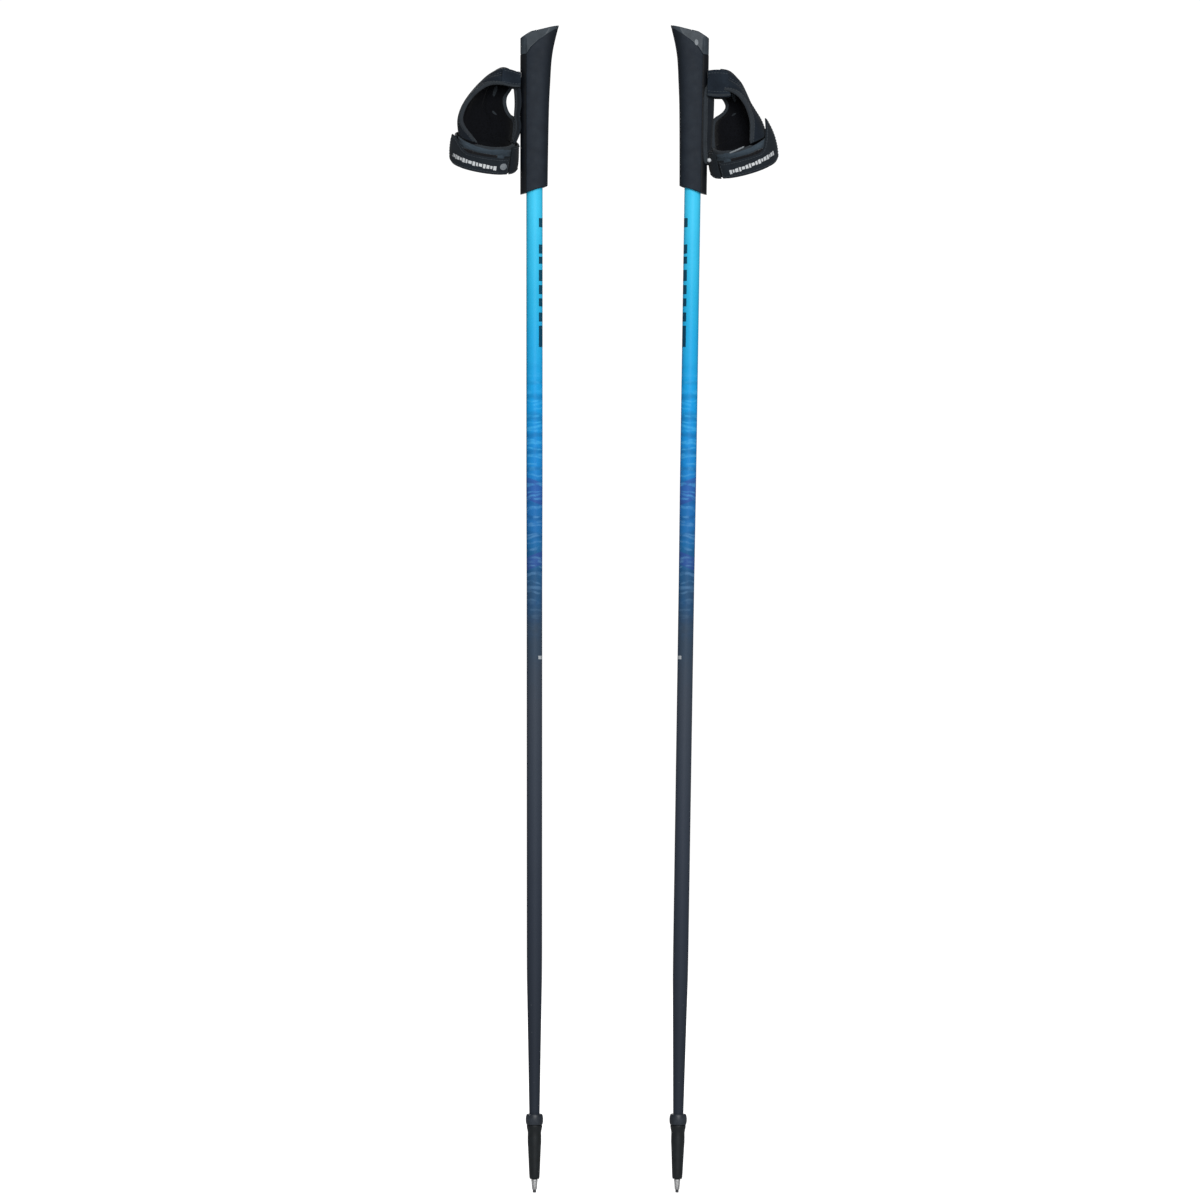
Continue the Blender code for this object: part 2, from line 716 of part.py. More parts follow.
def build_wrist_ring(pole, strap):
    half = CUFF_HALF_HEIGHT
    ring_piece(pole, "cuff", strap, (0, 360), CUFF_LAYER, half, "strap_fabric", "strap_pivot", steps=40)
    ring_piece(pole, "loop_patch", strap, LOOP_ARC, LOOP_LAYER, half - 0.003, "hook_and_loop", "strap_pivot")
    ring_piece(pole, "wrist_band", strap, BAND_ARC, BAND_LAYER, half, "strap_fabric", "strap_pivot")
    ring_piece(
        pole, "cuff_tab", strap, TAB_ARC, BAND_LAYER, half, "strap_fabric", "tab_hinge", strap["corner"]
    )
    ring_piece(
        pole, "hook_patch", strap, HOOK_ARC, HOOK_LAYER, half - 0.004, "hook_and_loop", "tab_hinge", steps=10
    )


def build_strap(pole, strap):
    pole.add_pivot("strap_pivot", (BAR_X, 0.0, PLUG_MIDDLE))
    pole.add_pivot("tab_hinge", cuff_point(strap, TAB_HINGE_ANGLE, sum(BAND_LAYER) / 2, 0.0))
    build_tongue(pole)
    build_thumb_web(pole)
    build_hand_panel(pole, strap)
    build_wrist_ring(pole, strap)


# --- the pair -----------------------------------------------------------------------------------------
def frame_matrices():
    foot = HALF_SPACING - SPACING_HEIGHT * math.tan(RIGHT_LEAN)
    lift = CARBIDE_RADIUS * math.sin(RIGHT_LEAN)
    left = Matrix.Translation((-HALF_SPACING, 0.0, 0.0))
    mirror = Matrix.Diagonal((-1.0, 1.0, 1.0, 1.0))
    right = Matrix.Translation((foot, 0.0, lift)) @ Matrix.Rotation(RIGHT_LEAN, 4, "Y") @ mirror
    return {"left": left, "right": right}


def build_pole(side, matrix, parts, cutters):
    pole = Pole(side, matrix, parts, cutters)
    build_shaft(pole)
    build_basket_ring(pole)
    build_ferrule(pole)
    build_tip(pole)
    shared = grip_cutters(pole)
    build_grip_core(pole, shared)
    build_grip_sleeve(pole, shared)
    build_head_cap(pole, shared)
    build_button(pole)
    build_catch_spring(pole)
    build_connector(pole)
    build_strap(pole, STRAPS[side])
    return pole


def main():
    clear_scene()
    parts = new_collection("trekking_poles")
    cutters = new_collection("cutters")
    return {side: build_pole(side, matrix, parts, cutters) for side, matrix in frame_matrices().items()}


main()
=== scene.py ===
"""The looks of a pair of Nordic walking poles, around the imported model, in metres.

Each pole is drawn in its own frame, as the CAD is: the origin is on the shaft's axis at the ground, +X points
forwards, away from the wrist strap, +Y across and +Z up the shaft. The right pole's frame mirrors X.
"""

import json
import math

import bmesh
import bpy
from mathutils import Matrix, Vector


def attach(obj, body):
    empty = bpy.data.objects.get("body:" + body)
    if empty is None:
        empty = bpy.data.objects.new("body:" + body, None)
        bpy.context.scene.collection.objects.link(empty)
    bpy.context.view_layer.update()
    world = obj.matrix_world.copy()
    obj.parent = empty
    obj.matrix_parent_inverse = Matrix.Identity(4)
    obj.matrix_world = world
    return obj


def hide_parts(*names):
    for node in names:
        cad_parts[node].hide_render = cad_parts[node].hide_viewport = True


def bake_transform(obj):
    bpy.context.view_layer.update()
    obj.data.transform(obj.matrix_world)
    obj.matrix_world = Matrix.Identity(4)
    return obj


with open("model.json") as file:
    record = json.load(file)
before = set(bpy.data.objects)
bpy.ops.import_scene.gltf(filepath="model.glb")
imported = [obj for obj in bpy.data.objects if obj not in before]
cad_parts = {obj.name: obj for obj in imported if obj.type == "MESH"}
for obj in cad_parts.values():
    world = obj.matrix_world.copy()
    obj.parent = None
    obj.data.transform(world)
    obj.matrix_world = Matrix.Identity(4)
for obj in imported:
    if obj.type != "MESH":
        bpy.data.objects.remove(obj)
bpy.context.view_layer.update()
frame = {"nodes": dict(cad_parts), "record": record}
scene = bpy.context.scene

# --- sizes that the CAD model also has ----------------------------------------------------------------
GAP = 0.0003  # between pieces that touch on the real pole
SHAFT_OUTSIDE = (  # (height, radius), top to bottom
    (1.085, 0.00805),
    (0.700, 0.00800),
    (0.600, 0.00770),
    (0.240, 0.00755),
    (0.210, 0.00740),
    (0.079, 0.00510),
    (0.034, 0.00460),
)
SHAFT_WALL = 0.0010
RING_TOP = 0.0775
RING_BOTTOM = 0.0668
FERRULE_BOTTOM = 0.0135
SOCKET_STEM = 0.0024
SOCKET_TOP = 0.0270
CARBIDE_RADIUS = 0.0016
CARBIDE_TOP = 0.0090
GRIP_BACK = -0.0140
GRIP_FRONT = (  # (height, x)
    (0.975, 0.0128),
    (1.025, 0.0135),
    (1.072, 0.0145),
    (1.096, 0.0157),
    (1.114, 0.0168),
    (1.126, 0.0184),
    (1.138, 0.0210),
    (1.150, 0.0242),
    (1.157, 0.0265),
)
GRIP_HALF_WIDTH = ((0.975, 0.0118), (1.020, 0.0128), (1.060, 0.0130), (1.100, 0.0125), (1.157, 0.0123))
GRIP_POWER = 2.6
GRIP_LOW_CUT = ((-0.030, 0.9784), (0.030, 0.9972))
GRIP_TOP_CUT = ((-0.030, 1.1276), (-0.0041, 1.1436), (0.0242, 1.1500), (0.040, 1.1536))
SLEEVE_BACK = -0.0080
CORE_MIDDLE = -0.0022
CORE_HALF_LENGTH = 0.0118
CORE_HALF_WIDTH = 0.0096
CORE_POWER = 2.5
CAP_EDGE = (  # the parting line under the head, (x, height)
    (-0.030, 1.1190),
    (-0.0080, 1.1212),
    (-0.0035, 1.1280),
    (0.0040, 1.1345),
    (0.0130, 1.1408),
    (0.0200, 1.1452),
    (0.0300, 1.1495),
)
FACET_START = Vector((-0.0077, 0.0, 1.1215))
FACET_END = Vector((0.0190, 0.0, 1.1450))
FACET_ANGLE = math.radians(16)
BUTTON_RADIUS = 0.0048
BUTTON_BASE = 1.1378
BUTTON_PROUD = 0.0006
BUTTON_TRAVEL = 0.0025
STEM_RADIUS = 0.0016
STEM_FOOT = 1.1072
PLUG_MIDDLE = 1.1010
PLUG_HALF_HEIGHT = 0.0028
PLUG_HALF_WIDTH = 0.0050
PLUG_NOSE = -0.0010
YOKE_FRONT = -0.0145
YOKE_BACK = -0.0160
YOKE_END = -0.0222
YOKE_HALF_WIDTH = 0.0125
YOKE_ARM = 0.0027
BAR_X = -0.0195
BAR_RADIUS = 0.0012
TONGUE_HALF_WIDTH = 0.0085
CUFF_X = -0.0493
CUFF_HALF_HEIGHT = 0.0142
CUFF_SQUEEZE = 0.0036  # how much less the ring's half depth is than its half length
CUFF_ROLL = math.radians(15)
CUFF_LAYER = (0.0252, 0.0279)
LOOP_LAYER = (0.0282, 0.0289)
HOOK_LAYER = (0.0293, 0.0300)
BAND_LAYER = (0.0304, 0.0326)
TAB_HINGE_ANGLE = 326.5

# --- straps: what differs between the hands ------------------------------------------------------------
# A panel row is the outline's point seen from the side (x, height), the way inwards (degrees below +X), the
# section's half length and half depth, and how far it wraps to the near and to the far side (degrees).
# A web row is the strip's (x, height) and how far its edges reach forwards round the grip's back.
STRAPS = {
    "left": {
        "cuff_height": 1.0245,
        "cuff_pitch": math.radians(10),
        "corner": 0.0,
        "foot_wrap": (73, 176),
        "panel": (
            (-0.0745, 1.0560, 2, 0.0278, 0.0255, 30, 172),
            (-0.0708, 1.0690, 8, 0.0248, 0.0250, 24, 150),
            (-0.0630, 1.0815, 15, 0.0200, 0.0225, 32, 140),
            (-0.0525, 1.0935, 28, 0.0160, 0.0180, 56, 135),
            (-0.0415, 1.1025, 44, 0.0136, 0.0135, 104, 135),
            (-0.0320, 1.1073, 60, 0.0112, 0.0102, 132, 138),
            (-0.0250, 1.1054, 78, 0.0085, 0.0090, 146, 146),
        ),
        "cheek": ((-0.0130, 1.1018), (-0.0310, 1.1068), (-0.0330, 1.0915), (-0.0136, 1.0885)),
        "tab_flare": 0.0022,
        "tab_belly": 0.0018,
        "band_bulge": 0.0040,
        "web": (
            (-0.0198, 1.0930, 0.0045),
            (-0.0185, 1.0830, 0.0052),
            (-0.0181, 1.0720, 0.0052),
            (-0.0187, 1.0610, 0.0042),
            (-0.0182, 1.0500, 0.0050),
            (-0.0190, 1.0420, 0.0035),
            (-0.0208, 1.0335, 0.0010),
        ),
        "web_tape": 0.20,
        "print_line": ((195, -0.0044), (297, -0.0081)),
        "print_bars": (2.6, 1.8, 2.4, 1.5, 2.8, 2.0, 2.5, 1.7, 3.0, 2.2, 1.6, 2.7, 2.0, 2.4, 1.8, 2.6),
    },
    "right": {
        "cuff_height": 1.0235,
        "cuff_pitch": math.radians(17),
        "corner": 0.0160,
        "foot_wrap": (71, 176),
        "panel": (
            (-0.0660, 1.0565, 4, 0.0234, 0.0240, 58, 172),
            (-0.0602, 1.0660, 6, 0.0180, 0.0235, 52, 148),
            (-0.0545, 1.0750, 11, 0.0140, 0.0215, 52, 127),
            (-0.0495, 1.0850, 21, 0.0130, 0.0190, 70, 126),
            (-0.0440, 1.0952, 34, 0.0136, 0.0140, 104, 135),
            (-0.0345, 1.1042, 56, 0.0118, 0.0106, 132, 138),
            (-0.0250, 1.1060, 78, 0.0085, 0.0090, 146, 146),
        ),
        "cheek": ((-0.0130, 1.1050), (-0.0330, 1.1048), (-0.0360, 1.0800), (-0.0128, 1.0800)),
        "tab_flare": -0.0014,
        "tab_belly": 0.0028,
        "band_bulge": 0.0062,
        "web": (
            (-0.0200, 1.0930, 0.0045),
            (-0.0186, 1.0850, 0.0075),
            (-0.0184, 1.0700, 0.0082),
            (-0.0180, 1.0560, 0.0078),
            (-0.0170, 1.0300, 0.0067),
            (-0.0170, 1.0130, 0.0050),
        ),
        "web_tape": 0.0,
        "print_line": ((208, -0.0036), (304, -0.0082)),
        "print_bars": (2.2, 2.7, 1.6, 2.4, 3.0, 1.8, 2.5, 2.0, 2.8, 1.7, 2.3, 2.6, 1.9, 2.9, 1.6, 2.4),
    },
}
BAND_HALF = sum(BAND_LAYER) / 2  # half length of the middle of the outer band
CUFF_MIDDLE = sum(CUFF_LAYER) / 2
FOOT_RISE = 0.0028  # how far the ring's lower edge rises at the back and at the grip
RIM_DROP = 0.0040  # how much lower the cuff's top edge is on the near side
FREE_RIM = (247, 366)  # where no panel is sewn to the cuff's top edge
TAB_TOP_STEP = 0.0120  # how much lower the tab's top edge is along the near side than at its free end


# --- numbers ------------------------------------------------------------------------------------------
def value_at(table, place):
    """A smooth reading of a table of (place, value), in order of place."""
    places = [row[0] for row in table]
    if place <= places[0]:
        return table[0][1]
    if place >= places[-1]:
        return table[-1][1]
    i = max(k for k, low in enumerate(places) if low <= place)
    slopes = [
        (table[min(k + 1, len(table) - 1)][1] - table[max(k - 1, 0)][1])
        / (places[min(k + 1, len(table) - 1)] - places[max(k - 1, 0)])
        for k in (i, i + 1)
    ]
    width = places[i + 1] - places[i]
    t = (place - places[i]) / width
    return (
        (2 * t**3 - 3 * t**2 + 1) * table[i][1]
        + (t**3 - 2 * t**2 + t) * width * slopes[0]
        + (3 * t**2 - 2 * t**3) * table[i + 1][1]
        + (t**3 - t**2) * width * slopes[1]
    )


def line_at(table, place):
    """A straight-line reading of a table of (place, value)."""
    for (low, first), (high, second) in zip(table, table[1:]):
        if place <= high:
            return first + (second - first) * (place - low) / (high - low)
    return table[-1][1]


def smooth_row(rows, t):
    """The row at t, from 0 to 1, on a Catmull-Rom curve through rows of numbers."""
    place = min(max(t, 0.0), 1.0) * (len(rows) - 1)
    i = min(int(place), len(rows) - 2)
    f = place - i
    a, b, c, d = (rows[min(max(k, 0), len(rows) - 1)] for k in (i - 1, i, i + 1, i + 2))
    return [
        0.5 * (2 * q + (r - p) * f + (2 * p - 5 * q + 4 * r - s) * f**2 + (3 * q - p - 3 * r + s) * f**3)
        for p, q, r, s in zip(a, b, c, d)
    ]


def eased(low, high, place):
    """0 at low and before it, 1 at high and past it, and a soft step between."""
    t = min(max((place - low) / (high - low), 0.0), 1.0)
    return t * t * (3 - 2 * t)


def spaced(start, end, steps):
    """steps + 1 numbers from start to end."""
    return [start + (end - start) * i / steps for i in range(steps + 1)]


def whole_turn(count):
    """Equally spaced angles, once round."""
    return [2 * math.pi * i / count for i in range(count)]


def superellipse(middle, half_length, half_width, power, angle):
    c, s = math.cos(angle), math.sin(angle)
    return (
        middle + half_length * math.copysign(abs(c) ** (2 / power), c),
        half_width * math.copysign(abs(s) ** (2 / power), s),
    )


def softened(points, radius, steps=3, closed=False):
    """The 2D points with each sharp corner replaced by a short curve."""
    count = len(points)
    made = []
    for i, point in enumerate(points):
        here = Vector(point)
        if not closed and i in (0, count - 1):
            made.append(here)
            continue
        before, after = Vector(points[i - 1]) - here, Vector(points[(i + 1) % count]) - here
        if math.pi - before.angle(after) < math.radians(14):
            made.append(here)
            continue
        start = here + before.normalized() * min(radius, before.length * 0.45)
        end = here + after.normalized() * min(radius, after.length * 0.45)
        for k in range(steps + 1):
            t = k / steps
            made.append((1 - t) ** 2 * start + 2 * t * (1 - t) * here + t * t * end)
    return made


# --- meshes -------------------------------------------------------------------------------------------
def new_mesh(points, faces, cloth=None):
    """A mesh whose closed bodies all face outwards. cloth gives each point's place on its fabric."""
    mesh = bpy.data.meshes.new("mesh")
    mesh.from_pydata([tuple(point) for point in points], [], faces)
    if cloth is not None:
        store(mesh, "cloth", cloth)
    bm = bmesh.new()
    bm.from_mesh(mesh)
    bmesh.ops.recalc_face_normals(bm, faces=bm.faces)
    bm.to_mesh(mesh)
    bm.free()
    return mesh


def store(mesh, name, vectors):
    attribute = mesh.attributes.get(name) or mesh.attributes.new(name, "FLOAT_VECTOR", "POINT")
    attribute.data.foreach_set("vector", [number for vector in vectors for number in vector])


def joined(meshes):
    bm = bmesh.new()
    for mesh in meshes:
        bm.from_mesh(mesh)
    made = bpy.data.meshes.new("joined")
    bm.to_mesh(made)
    bm.free()
    return made


def loft(rings):
    """A solid through rings of equally many points, closed at its two ends."""
    count = len(rings[0])
    points = [point for ring in rings for point in ring]
    faces = [tuple(range(count)), tuple(range(len(points) - count, len(points)))]
    for row in range(len(rings) - 1):
        for i in range(count):
            j = (i + 1) % count
            low, high = row * count, (row + 1) * count
            faces.append((low + i, low + j, high + j, high + i))
    return new_mesh(points, faces)


def turned(profile, segments=72, closed=True):
    """(radius, height) points turned round Z. An open profile starts and ends on the axis."""
    points, rows = [], []
    for radius, height in profile:
        if radius < 1e-6:
            rows.append([len(points)] * segments)
            points.append((0.0, 0.0, height))
            continue
        rows.append(list(range(len(points), len(points) + segments)))
        for angle in whole_turn(segments):
            points.append((radius * math.cos(angle), radius * math.sin(angle), height))
    faces = []
    pairs = list(zip(rows, rows[1:]))
    if closed:
        pairs.append((rows[-1], rows[0]))
    for upper, lower in pairs:
        for i in range(segments):
            j = (i + 1) % segments
            corners = dict.fromkeys((upper[i], lower[i], lower[j], upper[j]))
            if len(corners) > 2:
                faces.append(tuple(corners))
    return new_mesh(points, faces)


def prism(outline, axis, low, high):
    """A flat outline pushed along an axis: (x, height) points along Y, or (x, y) points along Z."""
    lay = {"Y": lambda a, b, depth: (a, depth, b), "Z": lambda a, b, depth: (a, b, depth)}[axis]
    return loft([[lay(a, b, depth) for a, b in outline] for depth in (low, high)])


def rod(centre, radius, half_length, segments):
    """A round bar along Y."""
    ring = [(radius * math.cos(angle), radius * math.sin(angle)) for angle in whole_turn(segments)]
    centre = Vector(centre)
    return loft([[centre + Vector((a, depth, b)) for a, b in ring] for depth in (-half_length, half_length)])


def block(low, high):
    return prism(((low[0], low[1]), (high[0], low[1]), (high[0], high[1]), (low[0], high[1])), "Z", low[2], high[2])


def evaluated(mesh, add_modifiers):
    """The mesh after modifiers, which add_modifiers(obj) adds to an object that holds it."""
    obj = bpy.data.objects.new("work", mesh)
    scene.collection.objects.link(obj)
    helpers = add_modifiers(obj) or []
    depsgraph = bpy.context.evaluated_depsgraph_get()
    made = bpy.data.meshes.new_from_object(obj.evaluated_get(depsgraph))
    for done in (obj, *helpers):
        bpy.data.objects.remove(done)
    return made


def carved(mesh, *steps):
    """The mesh after Booleans: steps are (operation, other mesh)."""

    def add(obj):
        helpers = []
        for operation, other in steps:
            helper = bpy.data.objects.new("cutter", other)
            scene.collection.objects.link(helper)
            boolean = obj.modifiers.new("cut", "BOOLEAN")
            boolean.operation = operation
            boolean.object = helper
            helpers.append(helper)
        return helpers

    return evaluated(mesh, add)


def moulded(mesh, grain, smoothing=5):
    """The mesh as one moulding with soft edges, made of cells of the size grain."""

    def add(obj):
        remesh = obj.modifiers.new("grain", "REMESH")
        remesh.mode = "VOXEL"
        remesh.voxel_size = grain
        smooth = obj.modifiers.new("soft", "SMOOTH")
        smooth.factor = 0.5
        smooth.iterations = smoothing

    return evaluated(mesh, add)


def soften_edges(obj, width, angle):
    """A Bevel modifier on the edges sharper than angle, in degrees."""
    bevel = obj.modifiers.new("edges", "BEVEL")
    bevel.width = width
    bevel.segments = 2
    bevel.limit_method = "ANGLE"
    bevel.angle_limit = math.radians(angle)


def bevelled(mesh, width):
    return evaluated(mesh, lambda obj: soften_edges(obj, width, 50))


def subdivided(mesh):
    def add(obj):
        subsurf = obj.modifiers.new("fine", "SUBSURF")
        subsurf.levels = 1
        subsurf.render_levels = 1

    return evaluated(mesh, add)


# --- soft sheets --------------------------------------------------------------------------------------
STITCH_LENGTH = 0.0021
STITCH_PITCH = 0.0029
THREAD_RADIUS = 0.00024
RIM_PLACES = (0.0, 0.08, 0.3, 0.65, 1.0)  # shares of the rim's width


def sheet_steps(length, spacing, rim):
    """Places from 0 to 1, close together near both ends, where the rim turns."""
    ends = [rim * share / length for share in RIM_PLACES]
    count = max(2, round((length - 2 * rim) / spacing))
    middle = [ends[-1] + (1 - 2 * ends[-1]) * i / count for i in range(1, count)]
    return [*ends, *middle, *(1 - end for end in reversed(ends))]


def rim_share(place, length, rim):
    """The share of the full thickness at a place: it falls to 0 at both edges in a quarter round."""
    inside = min(min(place, 1 - place) * length / rim, 1.0)
    return math.sqrt(max(0.0, 1 - (1 - inside) ** 2))


def surface_normal(point_at, u, v):
    step = 0.002
    u0, u1, v0, v1 = max(u - step, 0), min(u + step, 1), max(v - step, 0), min(v + step, 1)
    across = Vector(point_at(u1, v)) - Vector(point_at(u0, v))
    along = Vector(point_at(u, v1)) - Vector(point_at(u, v0))
    return across.cross(along).normalized()


def padded_sheet(point_at, size, half, spacing, closed=False, swell=None, flip=False, rim=None):
    """A soft sheet with two faces that meet in a rounded rim.

    point_at(u, v) is its middle, size its (length over u, length over v), half its half thickness and spacing
    the (u, v) cell sizes. swell(u, v, way) is added to the half thickness on the outer (1) or inner (-1) face.
    """
    rim = rim or half
    if closed:
        count = round(size[0] / spacing[0])
        us = [i / count for i in range(count)]
    else:
        us = sheet_steps(size[0], spacing[0], rim)
    vs = sheet_steps(size[1], spacing[1], rim)
    points, cloth, index = [], [], {}
    for j, v in enumerate(vs):
        for i, u in enumerate(us):
            middle = Vector(point_at(u, v))
            normal = surface_normal(point_at, u, v) * (-1 if flip else 1)
            share = rim_share(v, size[1], rim) * (1.0 if closed else rim_share(u, size[0], rim))
            ways = (0,) if share == 0 else (1, -1)
            for way in ways:
                extra = swell(u, v, way) if swell and way else 0.0
                points.append(middle + normal * way * (half + extra) * share)
                cloth.append((u * size[0], v * size[1], way * share))
                index[i, j, way] = len(points) - 1
            if share == 0:
                index[i, j, 1] = index[i, j, -1] = index[i, j, 0]
    faces = []
    columns = len(us) if closed else len(us) - 1
    for j in range(len(vs) - 1):
        for i in range(columns):
            k = (i + 1) % len(us)
            for way in (1, -1):
                corners = (index[i, j, way], index[k, j, way], index[k, j + 1, way], index[i, j + 1, way])
                corners = tuple(dict.fromkeys(corners))
                if len(corners) > 2:
                    faces.append(corners if way > 0 else corners[::-1])
    return new_mesh(points, faces, cloth)


def sweep(points, sides, half_side, half_thick, power=2.4, segments=12, closed=False):
    """A flattened tube along points. sides are the directions of its wide way."""
    count = len(points)
    ring_points, cloth, travelled = [], [], 0.0
    for i, point in enumerate(points):
        before = points[i - 1] if closed or i else points[i]
        after = points[(i + 1) % count] if closed or i < count - 1 else points[i]
        tangent = (after - before).normalized()
        side = sides[i].normalized()
        normal = tangent.cross(side).normalized()
        travelled += (point - points[i - 1]).length if i else 0.0
        end = 1.0 if closed else min(1.0, 0.55 + 0.3 * min(i, count - 1 - i))
        for angle in whole_turn(segments):
            a, b = superellipse(0.0, half_side * end, half_thick * end, power, angle)
            ring_points.append(point + side * a + normal * b)
            cloth.append((a, travelled, 1.0))
    faces = []
    for row in range(count if closed else count - 1):
        low, high = row * segments, ((row + 1) % count) * segments
        for i in range(segments):
            j = (i + 1) % segments
            faces.append((low + i, low + j, high + j, high + i))
    if not closed:
        faces.append(tuple(range(segments)))
        faces.append(tuple(range((count - 1) * segments, count * segments)))
    return new_mesh(ring_points, faces, cloth)


def stitches(points, normals):
    """Short raised threads laid end to end along a line of points on a surface."""
    lengths = [0.0]
    for a, b in zip(points, points[1:]):
        lengths.append(lengths[-1] + (b - a).length)

    def place(distance):
        i = max(0, min(len(points) - 2, sum(1 for x in lengths[1:-1] if x <= distance)))
        t = (distance - lengths[i]) / max(lengths[i + 1] - lengths[i], 1e-9)
        return points[i].lerp(points[i + 1], t), normals[i].lerp(normals[i + 1], t).normalized()

    made_points, faces, cloth = [], [], []
    sides = 5
    for k in range(int(lengths[-1] / STITCH_PITCH)):
        start = k * STITCH_PITCH + (STITCH_PITCH - STITCH_LENGTH) / 2
        tangent = (place(start + STITCH_LENGTH)[0] - place(start)[0]).normalized()
        rows = []
        for share, lift, size in ((0.0, -0.6, 0.6), (0.25, 0.35, 1.0), (0.75, 0.35, 1.0), (1.0, -0.6, 0.6)):
            centre, normal = place(start + STITCH_LENGTH * share)
            across = tangent.cross(normal)
            rows.append(len(made_points))
            for angle in whole_turn(sides):
                offset = normal * (lift + size * math.sin(angle)) + across * size * math.cos(angle)
                made_points.append(centre + offset * THREAD_RADIUS)
                cloth.append((0.0, start, 1.0))
        for low, high in zip(rows, rows[1:]):
            faces += [(low + i, low + (i + 1) % sides, high + (i + 1) % sides, high + i) for i in range(sides)]
        faces += [tuple(range(rows[0], rows[0] + sides)), tuple(range(rows[-1], rows[-1] + sides))]
    return new_mesh(made_points, faces, cloth)


PUFF_SCALE = 20  # the cloth solver works best on a piece of about a metre
PUFF_FRAMES = 20
PUFF_PRESSURE = 4.0


def puffed(mesh, pinned, limit):
    """Cloth simulation: the piece swells under pressure between its pinned seams, by at most limit."""
    rest = [vertex.co.copy() for vertex in mesh.vertices]
    mesh.transform(Matrix.Scale(PUFF_SCALE, 4))
    obj = bpy.data.objects.new("puff", mesh)
    scene.collection.objects.link(obj)
    group = obj.vertex_groups.new(name="seams")
    group.add([i for i, flag in enumerate(pinned) if flag], 1.0, "REPLACE")
    cloth = obj.modifiers.new("cloth", "CLOTH")
    settings = cloth.settings
    settings.vertex_group_mass = "seams"
    settings.use_pressure = True
    settings.uniform_pressure_force = PUFF_PRESSURE
    settings.effector_weights.gravity = 0
    settings.tension_stiffness = 12
    settings.compression_stiffness = 6
    settings.bending_stiffness = 0.4
    settings.quality = 5
    cloth.collision_settings.use_collision = False
    cloth.point_cache.frame_start = 1
    cloth.point_cache.frame_end = PUFF_FRAMES
    for number in range(1, PUFF_FRAMES + 1):
        scene.frame_set(number)
    depsgraph = bpy.context.evaluated_depsgraph_get()
    swollen = [vertex.co / PUFF_SCALE for vertex in obj.evaluated_get(depsgraph).to_mesh().vertices]
    obj.modifiers.clear()
    scene.frame_set(1)
    for vertex, start, end in zip(mesh.vertices, rest, swollen):
        move = end - start
        if move.length > limit:
            move *= limit / move.length
        vertex.co = start + move
    mesh.update()
    bpy.data.objects.remove(obj)
    return mesh


# --- materials ----------------------------------------------------------------------------------------
def srgb(red, green, blue):
    """A display colour, 0 to 255, as the linear colour that a shader takes."""
    shares = (value / 255 for value in (red, green, blue))
    return (*(s / 12.92 if s <= 0.04045 else ((s + 0.055) / 1.055) ** 2.4 for s in shares), 1.0)


def scaled(colour, share):
    """The colour with its red, green and blue multiplied by share."""
    return tuple(part * share for part in colour[:3]) + (1.0,)


